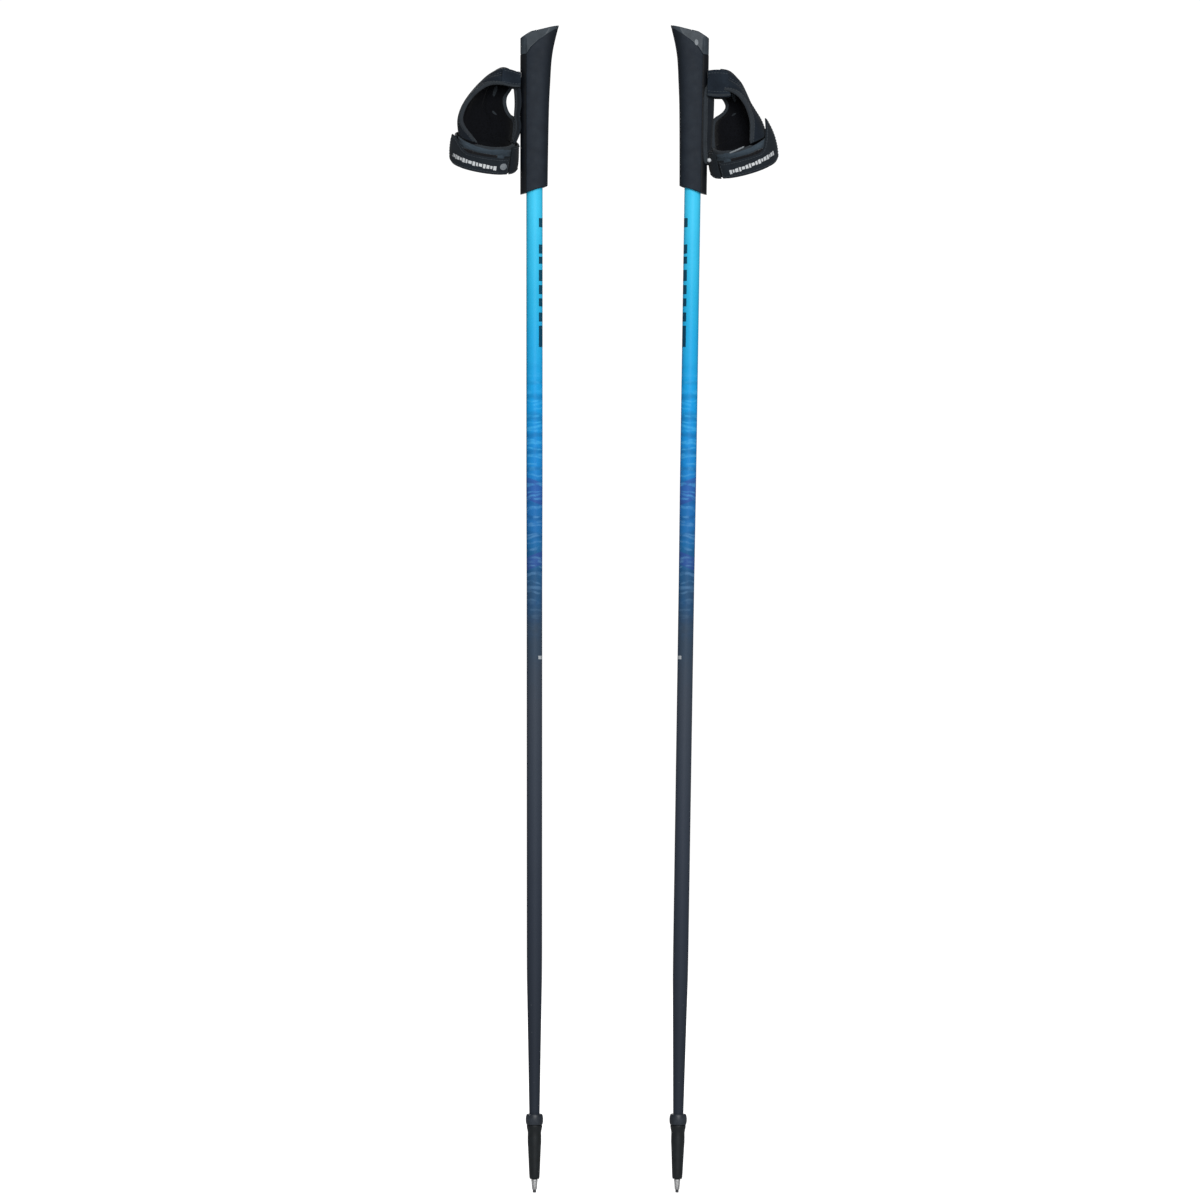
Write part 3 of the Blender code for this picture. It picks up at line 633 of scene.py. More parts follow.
class Look:
    """A Principled material and short ways to wire its nodes."""

    def __init__(self, name, roughness, metallic=0.0, **sockets):
        self.material = bpy.data.materials.new(name)
        self.material.use_nodes = True
        self.tree = self.material.node_tree
        self.shader = self.tree.nodes["Principled BSDF"]
        self.shader.inputs["Roughness"].default_value = roughness
        self.shader.inputs["Metallic"].default_value = metallic
        for label, value in sockets.items():
            self.shader.inputs[label.replace("_", " ").title().replace("Ior", "IOR")].default_value = value

    def feed(self, socket, value):
        if isinstance(value, bpy.types.NodeSocket):
            self.tree.links.new(value, socket)
        else:
            socket.default_value = value

    def node(self, kind, **settings):
        node = self.tree.nodes.new(kind)
        for name, value in settings.items():
            setattr(node, name, value)
        return node

    def math(self, operation, *values, clamp=False):
        node = self.node("ShaderNodeMath", operation=operation, use_clamp=clamp)
        for socket, value in zip(node.inputs, values):
            self.feed(socket, value)
        return node.outputs[0]

    def place(self, attribute="pole"):
        """The attribute's vector and its three numbers."""
        vector = self.node("ShaderNodeAttribute", attribute_name=attribute).outputs["Vector"]
        split = self.node("ShaderNodeSeparateXYZ")
        self.feed(split.inputs[0], vector)
        return vector, *split.outputs

    def noise(self, vector, scale, detail=2.0):
        node = self.node("ShaderNodeTexNoise")
        for label, value in (("Vector", vector), ("Scale", scale), ("Detail", detail)):
            self.feed(node.inputs[label], value)
        return node.outputs[0]

    def cells(self, vector, scale, feature="F1"):
        node = self.node("ShaderNodeTexVoronoi", feature=feature)
        self.feed(node.inputs["Vector"], vector)
        self.feed(node.inputs["Scale"], scale)
        return node.outputs["Distance"]

    def ripple(self, coordinate, pitch, shift=0.0):
        """A wave from -1 to 1 along a coordinate."""
        turns = self.math("MULTIPLY_ADD", coordinate, 2 * math.pi / pitch, shift)
        return self.math("SINE", turns)

    def between(self, value, low, high):
        above = self.math("GREATER_THAN", value, low)
        return self.math("MULTIPLY", above, self.math("LESS_THAN", value, high))

    def fade(self, value, low, high):
        """0 at low, 1 at high, straight between."""
        node = self.node("ShaderNodeMapRange")
        for socket, number in zip(node.inputs, (value, low, high)):
            self.feed(socket, number)
        return node.outputs[0]

    def mix(self, share, first, second):
        node = self.node("ShaderNodeMix", data_type="RGBA")
        for i, value in ((0, share), (6, first), (7, second)):
            self.feed(node.inputs[i], value)
        return node.outputs[2]

    def ramp(self, share, stops):
        node = self.node("ShaderNodeValToRGB")
        elements = node.color_ramp.elements
        while len(elements) < len(stops):
            elements.new(1.0)
        for element, (place, colour) in zip(elements, stops):
            element.position = place
            element.color = colour
        self.feed(node.inputs[0], share)
        return node.outputs[0]

    def finish(self, colour=None, rough=None, height=None, distance=0.0002, strength=1.0):
        if colour is not None:
            self.feed(self.shader.inputs["Base Color"], colour)
        if rough is not None:
            self.feed(self.shader.inputs["Roughness"], rough)
        if height is not None:
            bump = self.node("ShaderNodeBump")
            bump.inputs["Distance"].default_value = distance
            bump.inputs["Strength"].default_value = strength
            self.feed(bump.inputs["Height"], height)
            self.feed(self.shader.inputs["Normal"], bump.outputs[0])
        return self.material


def painted_shaft():
    """Bright blue at the top, a band of thin cross lines, then dark grey, under a clear coat."""
    look = Look("shaft_paint", 0.5, specular_ior_level=0.10, coat_weight=0.03, coat_roughness=0.35)
    vector, x, y, z = look.place()
    stops = (
        (0.14, srgb(46, 52, 62)),
        (0.29, srgb(52, 59, 71)),
        (0.485, srgb(64, 72, 84)),
        (0.544, srgb(58, 74, 92)),
        (0.584, srgb(46, 82, 118)),
        (0.633, srgb(36, 108, 165)),
        (0.682, srgb(38, 116, 188)),
        (0.732, srgb(30, 140, 214)),
        (0.781, srgb(26, 160, 230)),
        (0.880, srgb(46, 184, 232)),
        (0.978, srgb(66, 204, 246)),
    )
    wander = look.math("MULTIPLY_ADD", look.noise(vector, 55.0, 3.0), 0.05, -0.025)
    base = look.ramp(look.math("ADD", z, wander), stops)
    slow = look.noise(vector, 34.0)
    lines = []
    for pitch, slant, shift in ((0.0083, 0.07, 0.0), (0.0131, -0.13, 1.3)):
        height = look.math("MULTIPLY_ADD", x, slant, z)
        height = look.math("MULTIPLY_ADD", slow, 0.016, height)
        lines.append(look.fade(look.ripple(height, pitch, shift), 0.62, 0.98))
    line = look.math("MAXIMUM", *lines)
    band = look.math("MULTIPLY", look.fade(z, 0.545, 0.600), look.fade(z, 0.822, 0.780))
    broken = look.fade(look.noise(vector, 120.0, 2.0), 0.36, 0.60)
    line = look.math("MULTIPLY", look.math("MULTIPLY", line, broken), look.math("MULTIPLY", band, 0.62))
    trough = look.fade(look.ripple(look.math("MULTIPLY_ADD", slow, -0.02, z), 0.0167, 0.7), 0.1, 1.0)
    base = look.mix(look.math("MULTIPLY", look.math("MULTIPLY", trough, band), 0.30), base, srgb(24, 70, 120))
    violet = look.math(
        "MAXIMUM",
        look.between(look.math("MULTIPLY_ADD", x, 0.4, z), 0.680, 0.702),
        look.between(look.math("MULTIPLY_ADD", x, -0.4, z), 0.616, 0.629),
    )
    base = look.mix(look.math("MULTIPLY", violet, 0.5), base, srgb(58, 74, 158))
    glow = look.ramp(z, ((0.56, srgb(92, 122, 150)), (0.66, srgb(88, 152, 208)), (0.76, srgb(70, 186, 246))))
    base = look.mix(line, base, glow)
    flat = ((0.951, 0.960), (0.925, 0.934), (0.915, 0.922), (0.898, 0.909), (0.885, 0.894), (0.873, 0.881))
    marks = [look.between(z, low, high) for low, high in (*flat, (0.858, 0.867), (0.833, 0.854))]
    mark = marks[0]
    for other in marks[1:]:
        mark = look.math("MAXIMUM", mark, other)
    front = look.math("GREATER_THAN", x, 0.0044)
    near = look.math("LESS_THAN", y, -0.0006)
    mark = look.math("MULTIPLY", mark, look.math("MULTIPLY", front, near))
    base = look.mix(look.math("MULTIPLY", mark, 0.9), base, srgb(8, 40, 62))
    label = look.math("MULTIPLY", look.between(z, 0.5255, 0.5290), look.between(x, 0.0040, 0.0072))
    label = look.math("MULTIPLY", label, near)
    base = look.mix(look.math("MULTIPLY", label, 0.8), base, srgb(196, 202, 206))
    flakes = look.noise(vector, 4200.0, 1.0)
    wear = look.noise(vector, 420.0, 4.0)
    scuffed = look.math("MULTIPLY", look.math("GREATER_THAN", wear, 0.71), look.fade(z, 0.30, 0.08))
    base = look.mix(look.math("MULTIPLY", scuffed, 0.35), base, srgb(120, 124, 130))
    rough = look.math("MULTIPLY_ADD", wear, 0.14, 0.45)
    return look.finish(base, rough, flakes, 0.00002, 0.5)


def rubber():
    """Matt grip rubber with a fine pebble grain, and painted shade on its front rounding."""
    look = Look("grip_rubber", 0.7, specular_ior_level=0.18)
    vector, x, _, _ = look.place()
    tone = look.math("MULTIPLY_ADD", look.noise(vector, 95.0, 4.0), 0.7, 0.15)
    base = look.ramp(tone, ((0.25, srgb(26, 32, 40)), (0.5, srgb(31, 38, 47)), (0.8, srgb(38, 46, 55))))
    # painted shade: the front rounding, which turns away from the light, is mixed towards a darker rubber colour
    front = look.fade(x, 0.0085, 0.0145)
    base = look.mix(look.math("MULTIPLY", front, 0.45), base, srgb(18, 22, 27))
    pebble = look.cells(vector, 1500.0)
    fine = look.noise(vector, 3600.0, 2.0)
    height = look.math("MULTIPLY_ADD", fine, 0.5, pebble)
    rough = look.math("MULTIPLY_ADD", look.noise(vector, 160.0, 3.0), 0.22, 0.56)
    return look.finish(base, rough, height, 0.00012, 0.75)


def plastic(name, colour, light, roughness, grain=2600.0, depth=0.00004):
    """Moulded plastic: a fine eroded grain and slightly lighter, smoother patches where it is handled."""
    look = Look(name, roughness, specular_ior_level=0.4)
    vector = look.place()[0]
    handled = look.noise(vector, 130.0, 5.0)
    base = look.ramp(handled, ((0.35, colour), (0.7, light)))
    rough = look.math("MULTIPLY_ADD", handled, -0.2, roughness + 0.1)
    height = look.noise(vector, grain, 3.0)
    return look.finish(base, rough, height, depth, 0.8)


def steel(name, colour, roughness, attribute=True, stretch=(900.0, 900.0, 90.0)):
    """Turned or drawn steel with fine drag lines and dull patches."""
    look = Look(name, roughness, 1.0)
    if attribute:
        vector = look.place()[0]
    else:
        vector = look.node("ShaderNodeTexCoord").outputs["Object"]
    mapping = look.node("ShaderNodeMapping")
    mapping.inputs["Scale"].default_value = stretch
    look.feed(mapping.inputs["Vector"], vector)
    lines = look.noise(mapping.outputs[0], 1.0, 4.0)
    dull = look.noise(vector, 700.0, 4.0)
    base = look.ramp(dull, ((0.3, scaled(colour, 0.45)), (0.62, colour)))
    rough = look.math("MULTIPLY_ADD", lines, 0.3, roughness - 0.12)
    return look.finish(base, rough, lines, 0.00003, 0.6)


def webbing(name, dark, light, pitch=0.0013):
    """Woven tape: warp ribs crossed by finer weft threads, with fuzz."""
    look = Look(name, 0.86, sheen_weight=0.06, sheen_roughness=0.5, specular_ior_level=0.15)
    vector, u, v, _ = look.place("cloth")
    fuzz = look.noise(vector, 2600.0, 3.0)
    warp = look.ripple(u, pitch * 0.72)
    weft = look.ripple(v, pitch)
    weave = look.math("MULTIPLY", warp, weft)
    height = look.math("MULTIPLY_ADD", weave, 0.45, 0.5)
    height = look.math("MULTIPLY_ADD", fuzz, 0.35, height)
    patch = look.noise(vector, 110.0, 3.0)
    tone = look.math("MULTIPLY_ADD", height, 0.55, look.math("MULTIPLY", patch, 0.55))
    base = look.ramp(tone, ((0.25, dark), (0.8, light)))
    return look.finish(base, None, height, 0.00022, 0.8)


def padded_cloth(name, dark, light, lining, mesh_pitch=0.0017):
    """Knitted face cloth outside and an open spacer mesh inside."""
    look = Look(name, 0.88, sheen_weight=0.05, sheen_roughness=0.45, specular_ior_level=0.12)
    vector, u, v, side = look.place("cloth")
    flat = look.node("ShaderNodeCombineXYZ")
    look.feed(flat.inputs[0], u)
    look.feed(flat.inputs[1], v)
    inside = look.fade(side, 0.15, -0.15)
    knit_u = look.ripple(u, 0.0011)
    zigzag = look.math("MULTIPLY_ADD", knit_u, 0.00022, v)
    knit = look.math("MULTIPLY_ADD", look.ripple(zigzag, 0.0010), 0.5, 0.5)
    holes = look.cells(flat.outputs[0], 1.0 / mesh_pitch, "DISTANCE_TO_EDGE")
    holes = look.fade(holes, 0.05, 0.30)
    open_mesh = look.math("SUBTRACT", 1.0, holes)
    swap = look.node("ShaderNodeMix", data_type="FLOAT")
    for i, value in ((0, inside), (2, knit), (3, open_mesh)):
        look.feed(swap.inputs[i], value)
    fuzz = look.noise(vector, 2100.0, 3.0)
    height = look.math("MULTIPLY_ADD", fuzz, 0.3, swap.outputs[0])
    patch = look.noise(vector, 75.0, 4.0)
    tone = look.math("MULTIPLY_ADD", knit, 0.3, look.math("MULTIPLY", patch, 0.8))
    outer = look.ramp(tone, ((0.25, dark), (0.8, light)))
    inner = look.mix(open_mesh, scaled(lining, 0.45), lining)
    base = look.mix(inside, outer, inner)
    return look.finish(base, None, height, 0.00025, 0.7)


def pile(name, colour, scale, depth):
    """Hook or loop tape: a field of tiny hooks or a felt of loops."""
    look = Look(name, 0.93, sheen_weight=0.2, sheen_roughness=0.4, specular_ior_level=0.15)
    vector = look.place("cloth")[0]
    dots = look.cells(vector, scale)
    fuzz = look.noise(vector, scale * 2.2, 4.0)
    height = look.math("MULTIPLY_ADD", fuzz, 0.8, look.math("SUBTRACT", 1.0, dots))
    base = look.ramp(fuzz, ((0.3, colour), (0.75, scaled(colour, 2.1))))
    return look.finish(base, None, height, depth, 1.0)


def ink(name, colour, worn):
    """Rubbery screen print, thin enough that the weave shows through."""
    look = Look(name, 0.5, specular_ior_level=0.35)
    vector, u, v, _ = look.place("cloth")
    weave = look.math("MULTIPLY", look.ripple(u, 0.0010), look.ripple(v, 0.0012))
    chips = look.noise(vector, 900.0, 4.0)
    base = look.ramp(chips, ((0.30, worn), (0.42, colour)))
    return look.finish(base, None, weave, 0.00008, 0.6)


def make_materials():
    black_mesh = srgb(11, 13, 18)
    return {
        "blue_shaft": painted_shaft(),
        "grip_rubber": rubber(),
        "grip_core_plastic": plastic("grip_core_plastic", srgb(8, 11, 16), srgb(15, 19, 26), 0.42),
        "cap_plastic": plastic("cap_plastic", srgb(50, 58, 65), srgb(60, 69, 77), 0.5, 1900.0, 0.00006),
        "button_plastic": plastic("button_plastic", srgb(24, 28, 34), srgb(36, 42, 49), 0.38),
        "connector_plastic": plastic("connector_plastic", srgb(19, 23, 29), srgb(32, 37, 44), 0.4),
        "ring_plastic": plastic("ring_plastic", srgb(33, 39, 47), srgb(58, 65, 74), 0.45, 1700.0),
        "ferrule_plastic": plastic("ferrule_plastic", srgb(17, 22, 25), srgb(28, 34, 38), 0.46, 1700.0),
        "spring_steel": steel("spring_steel", srgb(168, 172, 178), 0.3, False),
        "pin_steel": steel("pin_steel", srgb(70, 74, 80), 0.5, False, (900.0, 60.0, 900.0)),
        "socket_steel": steel("socket_steel", srgb(236, 237, 238), 0.5, True, (60.0, 60.0, 2600.0)),
        "carbide": steel("carbide", srgb(112, 114, 118), 0.42),
        "webbing": webbing("tongue_webbing", srgb(18, 22, 28), srgb(38, 44, 53)),
        "web_padding": webbing("web_cloth", srgb(16, 20, 25), srgb(32, 38, 45), 0.0011),
        "panel_padding": padded_cloth("panel_cloth", srgb(20, 26, 34), srgb(38, 47, 57), black_mesh),
        "cuff_padding": padded_cloth("cuff_cloth", srgb(46, 56, 65), srgb(74, 87, 98), black_mesh),
        "band_fabric": webbing("band_webbing", srgb(14, 18, 22), srgb(29, 35, 41), 0.0022),
        "tab_fabric": webbing("tab_webbing", srgb(18, 23, 28), srgb(34, 41, 48), 0.0022),
        "hook_tape": pile("hook_tape", srgb(18, 19, 22), 1100.0, 0.0005),
        "loop_tape": pile("loop_tape", srgb(20, 21, 24), 2300.0, 0.0004),
        "binding": webbing("edge_binding", srgb(32, 37, 42), srgb(54, 60, 66), 0.0009),
        "thread": webbing("thread", srgb(48, 53, 58), srgb(76, 82, 88), 0.0006),
        "white_ink": ink("white_ink", srgb(206, 210, 213), srgb(120, 126, 132)),
        "grey_ink": ink("grey_ink", srgb(128, 134, 139), srgb(70, 76, 82)),
    }


# --- a pole -------------------------------------------------------------------------------------------
class Pole:
    """One pole: its frame, and how a piece drawn in that frame is put in the scene."""

    def __init__(self, side, materials):
        self.side = side
        self.materials = materials
        self.strap = STRAPS[side]
        stand = next(m for m in frame["record"]["mounts"] if m["name"] == f"{side}_tip_on_ground")
        up = -Vector(stand["axis"]).normalized()
        across = Vector((0.0, 1.0, 0.0))
        front = across.cross(up)
        if side == "right":
            front.negate()
        self.matrix = Matrix((front, across, up)).transposed().to_4x4()
        self.matrix.translation = Vector(stand["pos_m"])

    def place(self, point):
        return self.matrix @ Vector(point)

    def add(self, label, mesh, material, slot, replaces=()):
        """The piece in the row frame, with its finish."""
        store(mesh, "pole", [vertex.co for vertex in mesh.vertices])
        if mesh.attributes.get("cloth") is None:
            store(mesh, "cloth", [vertex.co for vertex in mesh.vertices])
        mesh.transform(self.matrix)
        if self.matrix.determinant() < 0:
            mesh.flip_normals()
        mesh.materials.clear()
        mesh.materials.append(self.materials[material])
        mesh.name = f"{self.side}_{label}"
        obj = bpy.data.objects.new(mesh.name, mesh)
        scene.collection.objects.link(obj)
        mesh.shade_smooth()
        mesh.set_sharp_from_angle(angle=math.radians(50))
        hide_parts(*(f"{self.side}_{node}" for node in replaces))
        return obj

    def piece(self, label, mesh, material, body, slot=None, replaces=()):
        obj = self.add(label, mesh, material, slot or material, replaces)
        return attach(obj, f"{self.side}_{body}")


# --- shaft and tip ------------------------------------------------------------------------------------
def shaft_radius(height):
    return line_at(tuple(reversed(SHAFT_OUTSIDE)), height)


def build_shaft(pole):
    outside = [(radius, height) for height, radius in SHAFT_OUTSIDE]
    inside = [(radius - SHAFT_WALL, height) for radius, height in reversed(outside)]
    profile = softened(outside + inside, SHAFT_WALL / 3, 2, True)
    pole.piece("shaft_tube", turned(profile), "blue_shaft", "pole", replaces=["shaft"])


def build_tip(pole):
    collar = [
        (0.0070, RING_TOP),
        (0.0075, 0.0774),
        (0.0080, 0.0764),
        (0.0084, 0.0748),
        (0.0086, 0.0728),
        (0.0086, 0.0705),
        (0.0083, 0.0684),
        (0.0078, RING_BOTTOM),
        (0.0069, RING_BOTTOM),
    ]
    pole.piece("collar", turned(softened(collar, 0.0005, 3, True)), "ring_plastic", "pole", replaces=["basket_ring"])
    foot = SHAFT_OUTSIDE[-1][0]
    neck = 0.0066
    body = [
        (neck, RING_TOP - GAP),
        (neck, RING_BOTTOM - GAP),
        (0.0077, RING_BOTTOM - GAP),
        (0.0075, 0.0640),
        (0.0069, 0.0612),
        (0.0066, 0.0588),
        (0.0067, 0.0550),
        (0.0067, 0.0500),
        (0.0064, 0.0450),
        (0.0058, 0.0320),
        (0.0053, 0.0200),
        (0.0050, 0.0152),
        (0.0046, FERRULE_BOTTOM),
        (SOCKET_STEM + GAP, FERRULE_BOTTOM),
        (SOCKET_STEM + GAP, SOCKET_TOP + GAP),
        (0.0008, SOCKET_TOP + GAP),
        (0.0008, foot - GAP),
        (shaft_radius(foot) + GAP, foot - GAP),
        (shaft_radius(RING_TOP) + GAP, RING_TOP - GAP),
    ]
    pole.piece("tip_body", turned(softened(body, 0.0005, 3, True)), "ferrule_plastic", "pole", replaces=["ferrule"])
    holder = [
        (0.0, SOCKET_TOP),
        (SOCKET_STEM, SOCKET_TOP),
        (SOCKET_STEM, FERRULE_BOTTOM - GAP),
        (0.0031, FERRULE_BOTTOM - GAP),
        (0.0031, 0.0112),
        (0.0029, 0.0108),
        (0.0029, 0.0102),
        (0.0023, 0.0030),
        (CARBIDE_RADIUS + GAP, 0.0030),
        (CARBIDE_RADIUS + GAP, CARBIDE_TOP + GAP),
        (0.0, CARBIDE_TOP + GAP),
    ]
    mesh = turned(softened(holder, 0.0003, 3), closed=False)
    pole.piece("tip_holder", mesh, "socket_steel", "pole", replaces=["tip_socket"])
    point = [
        (0.0, CARBIDE_TOP),
        (CARBIDE_RADIUS, CARBIDE_TOP),
        (CARBIDE_RADIUS, 0.0005),
        (CARBIDE_RADIUS - 0.0002, 0.0),
        (CARBIDE_RADIUS - 0.0006, 0.0002),
        (0.0, 0.0007),
    ]
    pole.piece(
        "tip_point", turned(softened(point, 0.0001, 2), 48, False), "carbide", "pole", replaces=["carbide_tip"]
    )


# --- grip ---------------------------------------------------------------------------------------------
def grip_point(angle, height):
    front = value_at(GRIP_FRONT, height)
    middle, half = (front + GRIP_BACK) / 2, (front - GRIP_BACK) / 2
    x, y = superellipse(middle, half, value_at(GRIP_HALF_WIDTH, height), GRIP_POWER, angle)
    return Vector((x, y, height))


def grip_angle(height, x):
    """The angle at which the grip's outline crosses x, on its far side."""
    front = value_at(GRIP_FRONT, height)
    middle, half = (front + GRIP_BACK) / 2, (front - GRIP_BACK) / 2
    share = (x - middle) / half
    return math.acos(math.copysign(abs(share) ** (GRIP_POWER / 2), share))


def core_point(angle, height, extra=0.0):
    half_length, half_width = CORE_HALF_LENGTH + extra, CORE_HALF_WIDTH + extra
    x, y = superellipse(CORE_MIDDLE, half_length, half_width, CORE_POWER, angle)
    return Vector((x, y, height))


def build_sleeve(pole):
    """The rubber, open at the back: its outer face is the grip's outline, its inner face the core's."""
    columns, rows = 64, 90
    core_share = (SLEEVE_BACK - CORE_MIDDLE) / (CORE_HALF_LENGTH + GAP)
    core_angle = math.acos(-(abs(core_share) ** (CORE_POWER / 2)))
    points, faces = [], []
    for j in range(rows + 1):
        for i in range(columns + 1):
            t = 2 * i / columns - 1
            x = SLEEVE_BACK + (0.018 - SLEEVE_BACK) * math.cos(t * math.pi / 2)
            for _ in range(4):  # the ends are cut on a slant, so height and place settle together
                low, high = line_at(GRIP_LOW_CUT, x), line_at(CAP_EDGE, x)
                height = low + (high - low) * j / rows
                outer = grip_point(t * grip_angle(height, SLEEVE_BACK), height)
                x = outer.x
            points.append(outer)
            points.append(core_point(t * core_angle, height, GAP))
    width = 2 * (columns + 1)
    for j in range(rows):
        for i in range(columns):
            a = j * width + 2 * i
            faces.append((a, a + 2, a + width + 2, a + width))
            faces.append((a + 1, a + width + 1, a + width + 3, a + 3))
        for a in (j * width, j * width + 2 * columns):
            faces.append((a, a + 1, a + width + 1, a + width))
    for a in (0, rows * width):
        faces += [(a + 2 * i, a + 2 * i + 1, a + 2 * i + 3, a + 2 * i + 2) for i in range(columns)]
    mesh = bevelled(new_mesh(points, faces), 0.0006)
    pole.piece("rubber_sleeve", mesh, "grip_rubber", "pole", replaces=["grip_sleeve"])


def build_core(pole):
    """The hard core with its bore for the shaft, and the plug's slot through the spine."""
    count, rows = 72, 24
    bore_radius, bore_top = SHAFT_OUTSIDE[0][1] + GAP, SHAFT_OUTSIDE[0][0] + GAP
    angles = whole_turn(count)

    def row(share):
        ring = []
        for angle in angles:
            x = core_point(angle, 0.0).x
            low, high = line_at(GRIP_LOW_CUT, x), line_at(CAP_EDGE, x)
            ring.append(core_point(angle, low + (high - low) * share))
        return ring

    def bore(height):
        ring = []
        for angle in angles:
            x, y = bore_radius * math.cos(angle), bore_radius * math.sin(angle)
            ring.append(Vector((x, y, height or line_at(GRIP_LOW_CUT, x))))
        return ring

    mesh = loft([bore(bore_top), bore(None), *(row(j / rows) for j in range(rows + 1))])
    half_width, half_height = PLUG_HALF_WIDTH + GAP, PLUG_HALF_HEIGHT + GAP
    slot = block((-0.020, -half_width, PLUG_MIDDLE - half_height), (-0.0004, half_width, PLUG_MIDDLE + half_height))
    mesh = bevelled(carved(mesh, ("DIFFERENCE", slot)), 0.0004)
    pole.piece("spine", mesh, "grip_core_plastic", "pole", replaces=["grip_core"])


def facet_plane(way):
    """A point on the flat on one side of the head, and the plane's axes: along, across and outwards."""
    along = (FACET_END - FACET_START).normalized()
    upwards = Vector((-along.z, 0.0, along.x))
    normal = math.sin(FACET_ANGLE) * upwards + math.cos(FACET_ANGLE) * Vector((0, way, 0))
    half_width = line_at(GRIP_HALF_WIDTH, FACET_START.z)
    middle = (FACET_START + FACET_END) / 2 + Vector((0, way * half_width, 0))
    return middle, along, normal.cross(along), normal


def facet_block(way):
    size = 0.08
    middle, along, across, normal = facet_plane(way)
    turn = Matrix((along, across, normal)).transposed().to_4x4()
    turn.translation = middle + normal * size / 2
    bm = bmesh.new()
    bmesh.ops.create_cube(bm, size=size, matrix=turn)
    mesh = bpy.data.meshes.new("facet")
    bm.to_mesh(mesh)
    bm.free()
    return mesh


def build_head(pole):
    angles = whole_turn(96)
    low, high, rows = 1.112, 1.157, 16
    heights = spaced(low, high, rows)
    outer = loft([[grip_point(angle, height) for angle in angles] for height in heights])
    core = loft([[core_point(angle, height, -0.0001) for angle in angles] for height in (low, high)])
    deep, far = 0.03, 0.05
    under = prism([*((x, z + GAP) for x, z in CAP_EDGE), (0.030, 1.09), (-0.030, 1.09)], "Y", -deep, deep)
    above = prism([*GRIP_TOP_CUT, (0.040, 1.20), (-0.030, 1.20)], "Y", -deep, deep)
    floor = BUTTON_BASE - BUTTON_TRAVEL - GAP
    stem_bottom, clear = 1.10, 1.17
    well = [
        (0.0, stem_bottom),
        (STEM_RADIUS + GAP, stem_bottom),
        (STEM_RADIUS + GAP, floor),
        (BUTTON_RADIUS + GAP, floor),
        (BUTTON_RADIUS + GAP, clear),
        (0.0, clear),
    ]
    mesh = carved(
        outer,
        ("DIFFERENCE", block((-far, -deep, 1.0), (SLEEVE_BACK, deep, 1.2))),
        ("UNION", core),
        ("DIFFERENCE", under),
        ("DIFFERENCE", above),
        ("DIFFERENCE", facet_block(-1)),
        ("DIFFERENCE", facet_block(1)),
    )
    mesh = carved(moulded(mesh, 0.00031, 8), ("DIFFERENCE", turned(well, 48, False)))
    pole.piece("head", mesh, "cap_plastic", "pole", replaces=["head_cap"])


def build_head_mark(pole):
    """A plain pale oval laid on the near flat of the right head."""
    middle, along, across, normal = facet_plane(-1)
    target = Vector((-0.0017, middle.y, 1.1330))
    centre = middle + along * (target - middle).dot(along) + across * (target - middle).dot(across)
    rows = ((1.0, -0.0003), (1.0, 0.00008), (0.86, 0.00022), (0.5, 0.00027))
    steep = (Vector((0, 0, 1)) - normal * normal.z).normalized()
    level = normal.cross(steep)
    rings = []
    for share, lift in rows:
        ring = []
        for angle in whole_turn(32):
            flat = steep * 0.0031 * math.cos(angle) + level * 0.0019 * math.sin(angle)
            ring.append(centre + flat * share + normal * lift)
        rings.append(ring)
    pole.piece("head_oval", loft(rings), "grey_ink", "pole", slot="cap_plastic")


def build_button(pole):
    top = [
        (BUTTON_RADIUS, -0.0007),
        (BUTTON_RADIUS - 0.0002, -0.0002),
        (BUTTON_RADIUS - 0.0007, 0.0),
        (BUTTON_RADIUS * 0.7, -0.0002),
        (BUTTON_RADIUS * 0.35, -0.0004),
    ]
    bottom = [
        (STEM_RADIUS - 0.0003, STEM_FOOT),
        (STEM_RADIUS, STEM_FOOT + 0.0003),
        (STEM_RADIUS, BUTTON_BASE - 0.0003),
        (STEM_RADIUS + 0.0003, BUTTON_BASE),
        (BUTTON_RADIUS - 0.0004, BUTTON_BASE),
        (BUTTON_RADIUS, BUTTON_BASE + 0.0004),
    ]

    def ring(radius, height_at):
        made = []
        for angle in whole_turn(64):
            x, y = radius * math.cos(angle), radius * math.sin(angle)
            made.append((x, y, height_at(x)))
        return made

    rings = [ring(radius, lambda x, height=height: height) for radius, height in bottom]
    for radius, drop in top:
        rings.append(ring(radius, lambda x, drop=drop: line_at(GRIP_TOP_CUT, x) + BUTTON_PROUD + drop))
    pole.piece("push_button", loft(rings), "button_plastic", "button", replaces=["release_button"])


def build_connector(pole):
    arm_inside = YOKE_HALF_WIDTH - YOKE_ARM
    one_side = (
        (PLUG_NOSE, PLUG_HALF_WIDTH),
        (YOKE_FRONT, PLUG_HALF_WIDTH),
        (YOKE_FRONT, YOKE_HALF_WIDTH),
        (YOKE_END, YOKE_HALF_WIDTH),
        (YOKE_END, arm_inside),
        (YOKE_BACK, arm_inside),
    )
    outline = softened([*one_side, *((x, -y) for x, y in reversed(one_side))], 0.0009, 3, True)
    body = prism(outline, "Z", PLUG_MIDDLE - PLUG_HALF_HEIGHT, PLUG_MIDDLE + PLUG_HALF_HEIGHT)
    notch = block((-0.0056, -0.01, 1.0960), (-0.0028, 0.01, 1.1000))
    bar_hole = rod((BAR_X, 0, PLUG_MIDDLE), BAR_RADIUS + GAP, 0.02, 32)
    mesh = moulded(carved(body, ("DIFFERENCE", notch), ("DIFFERENCE", bar_hole)), 0.00028, 3)
    pole.piece("plug_and_yoke", mesh, "connector_plastic", "connector_body", replaces=["connector"])


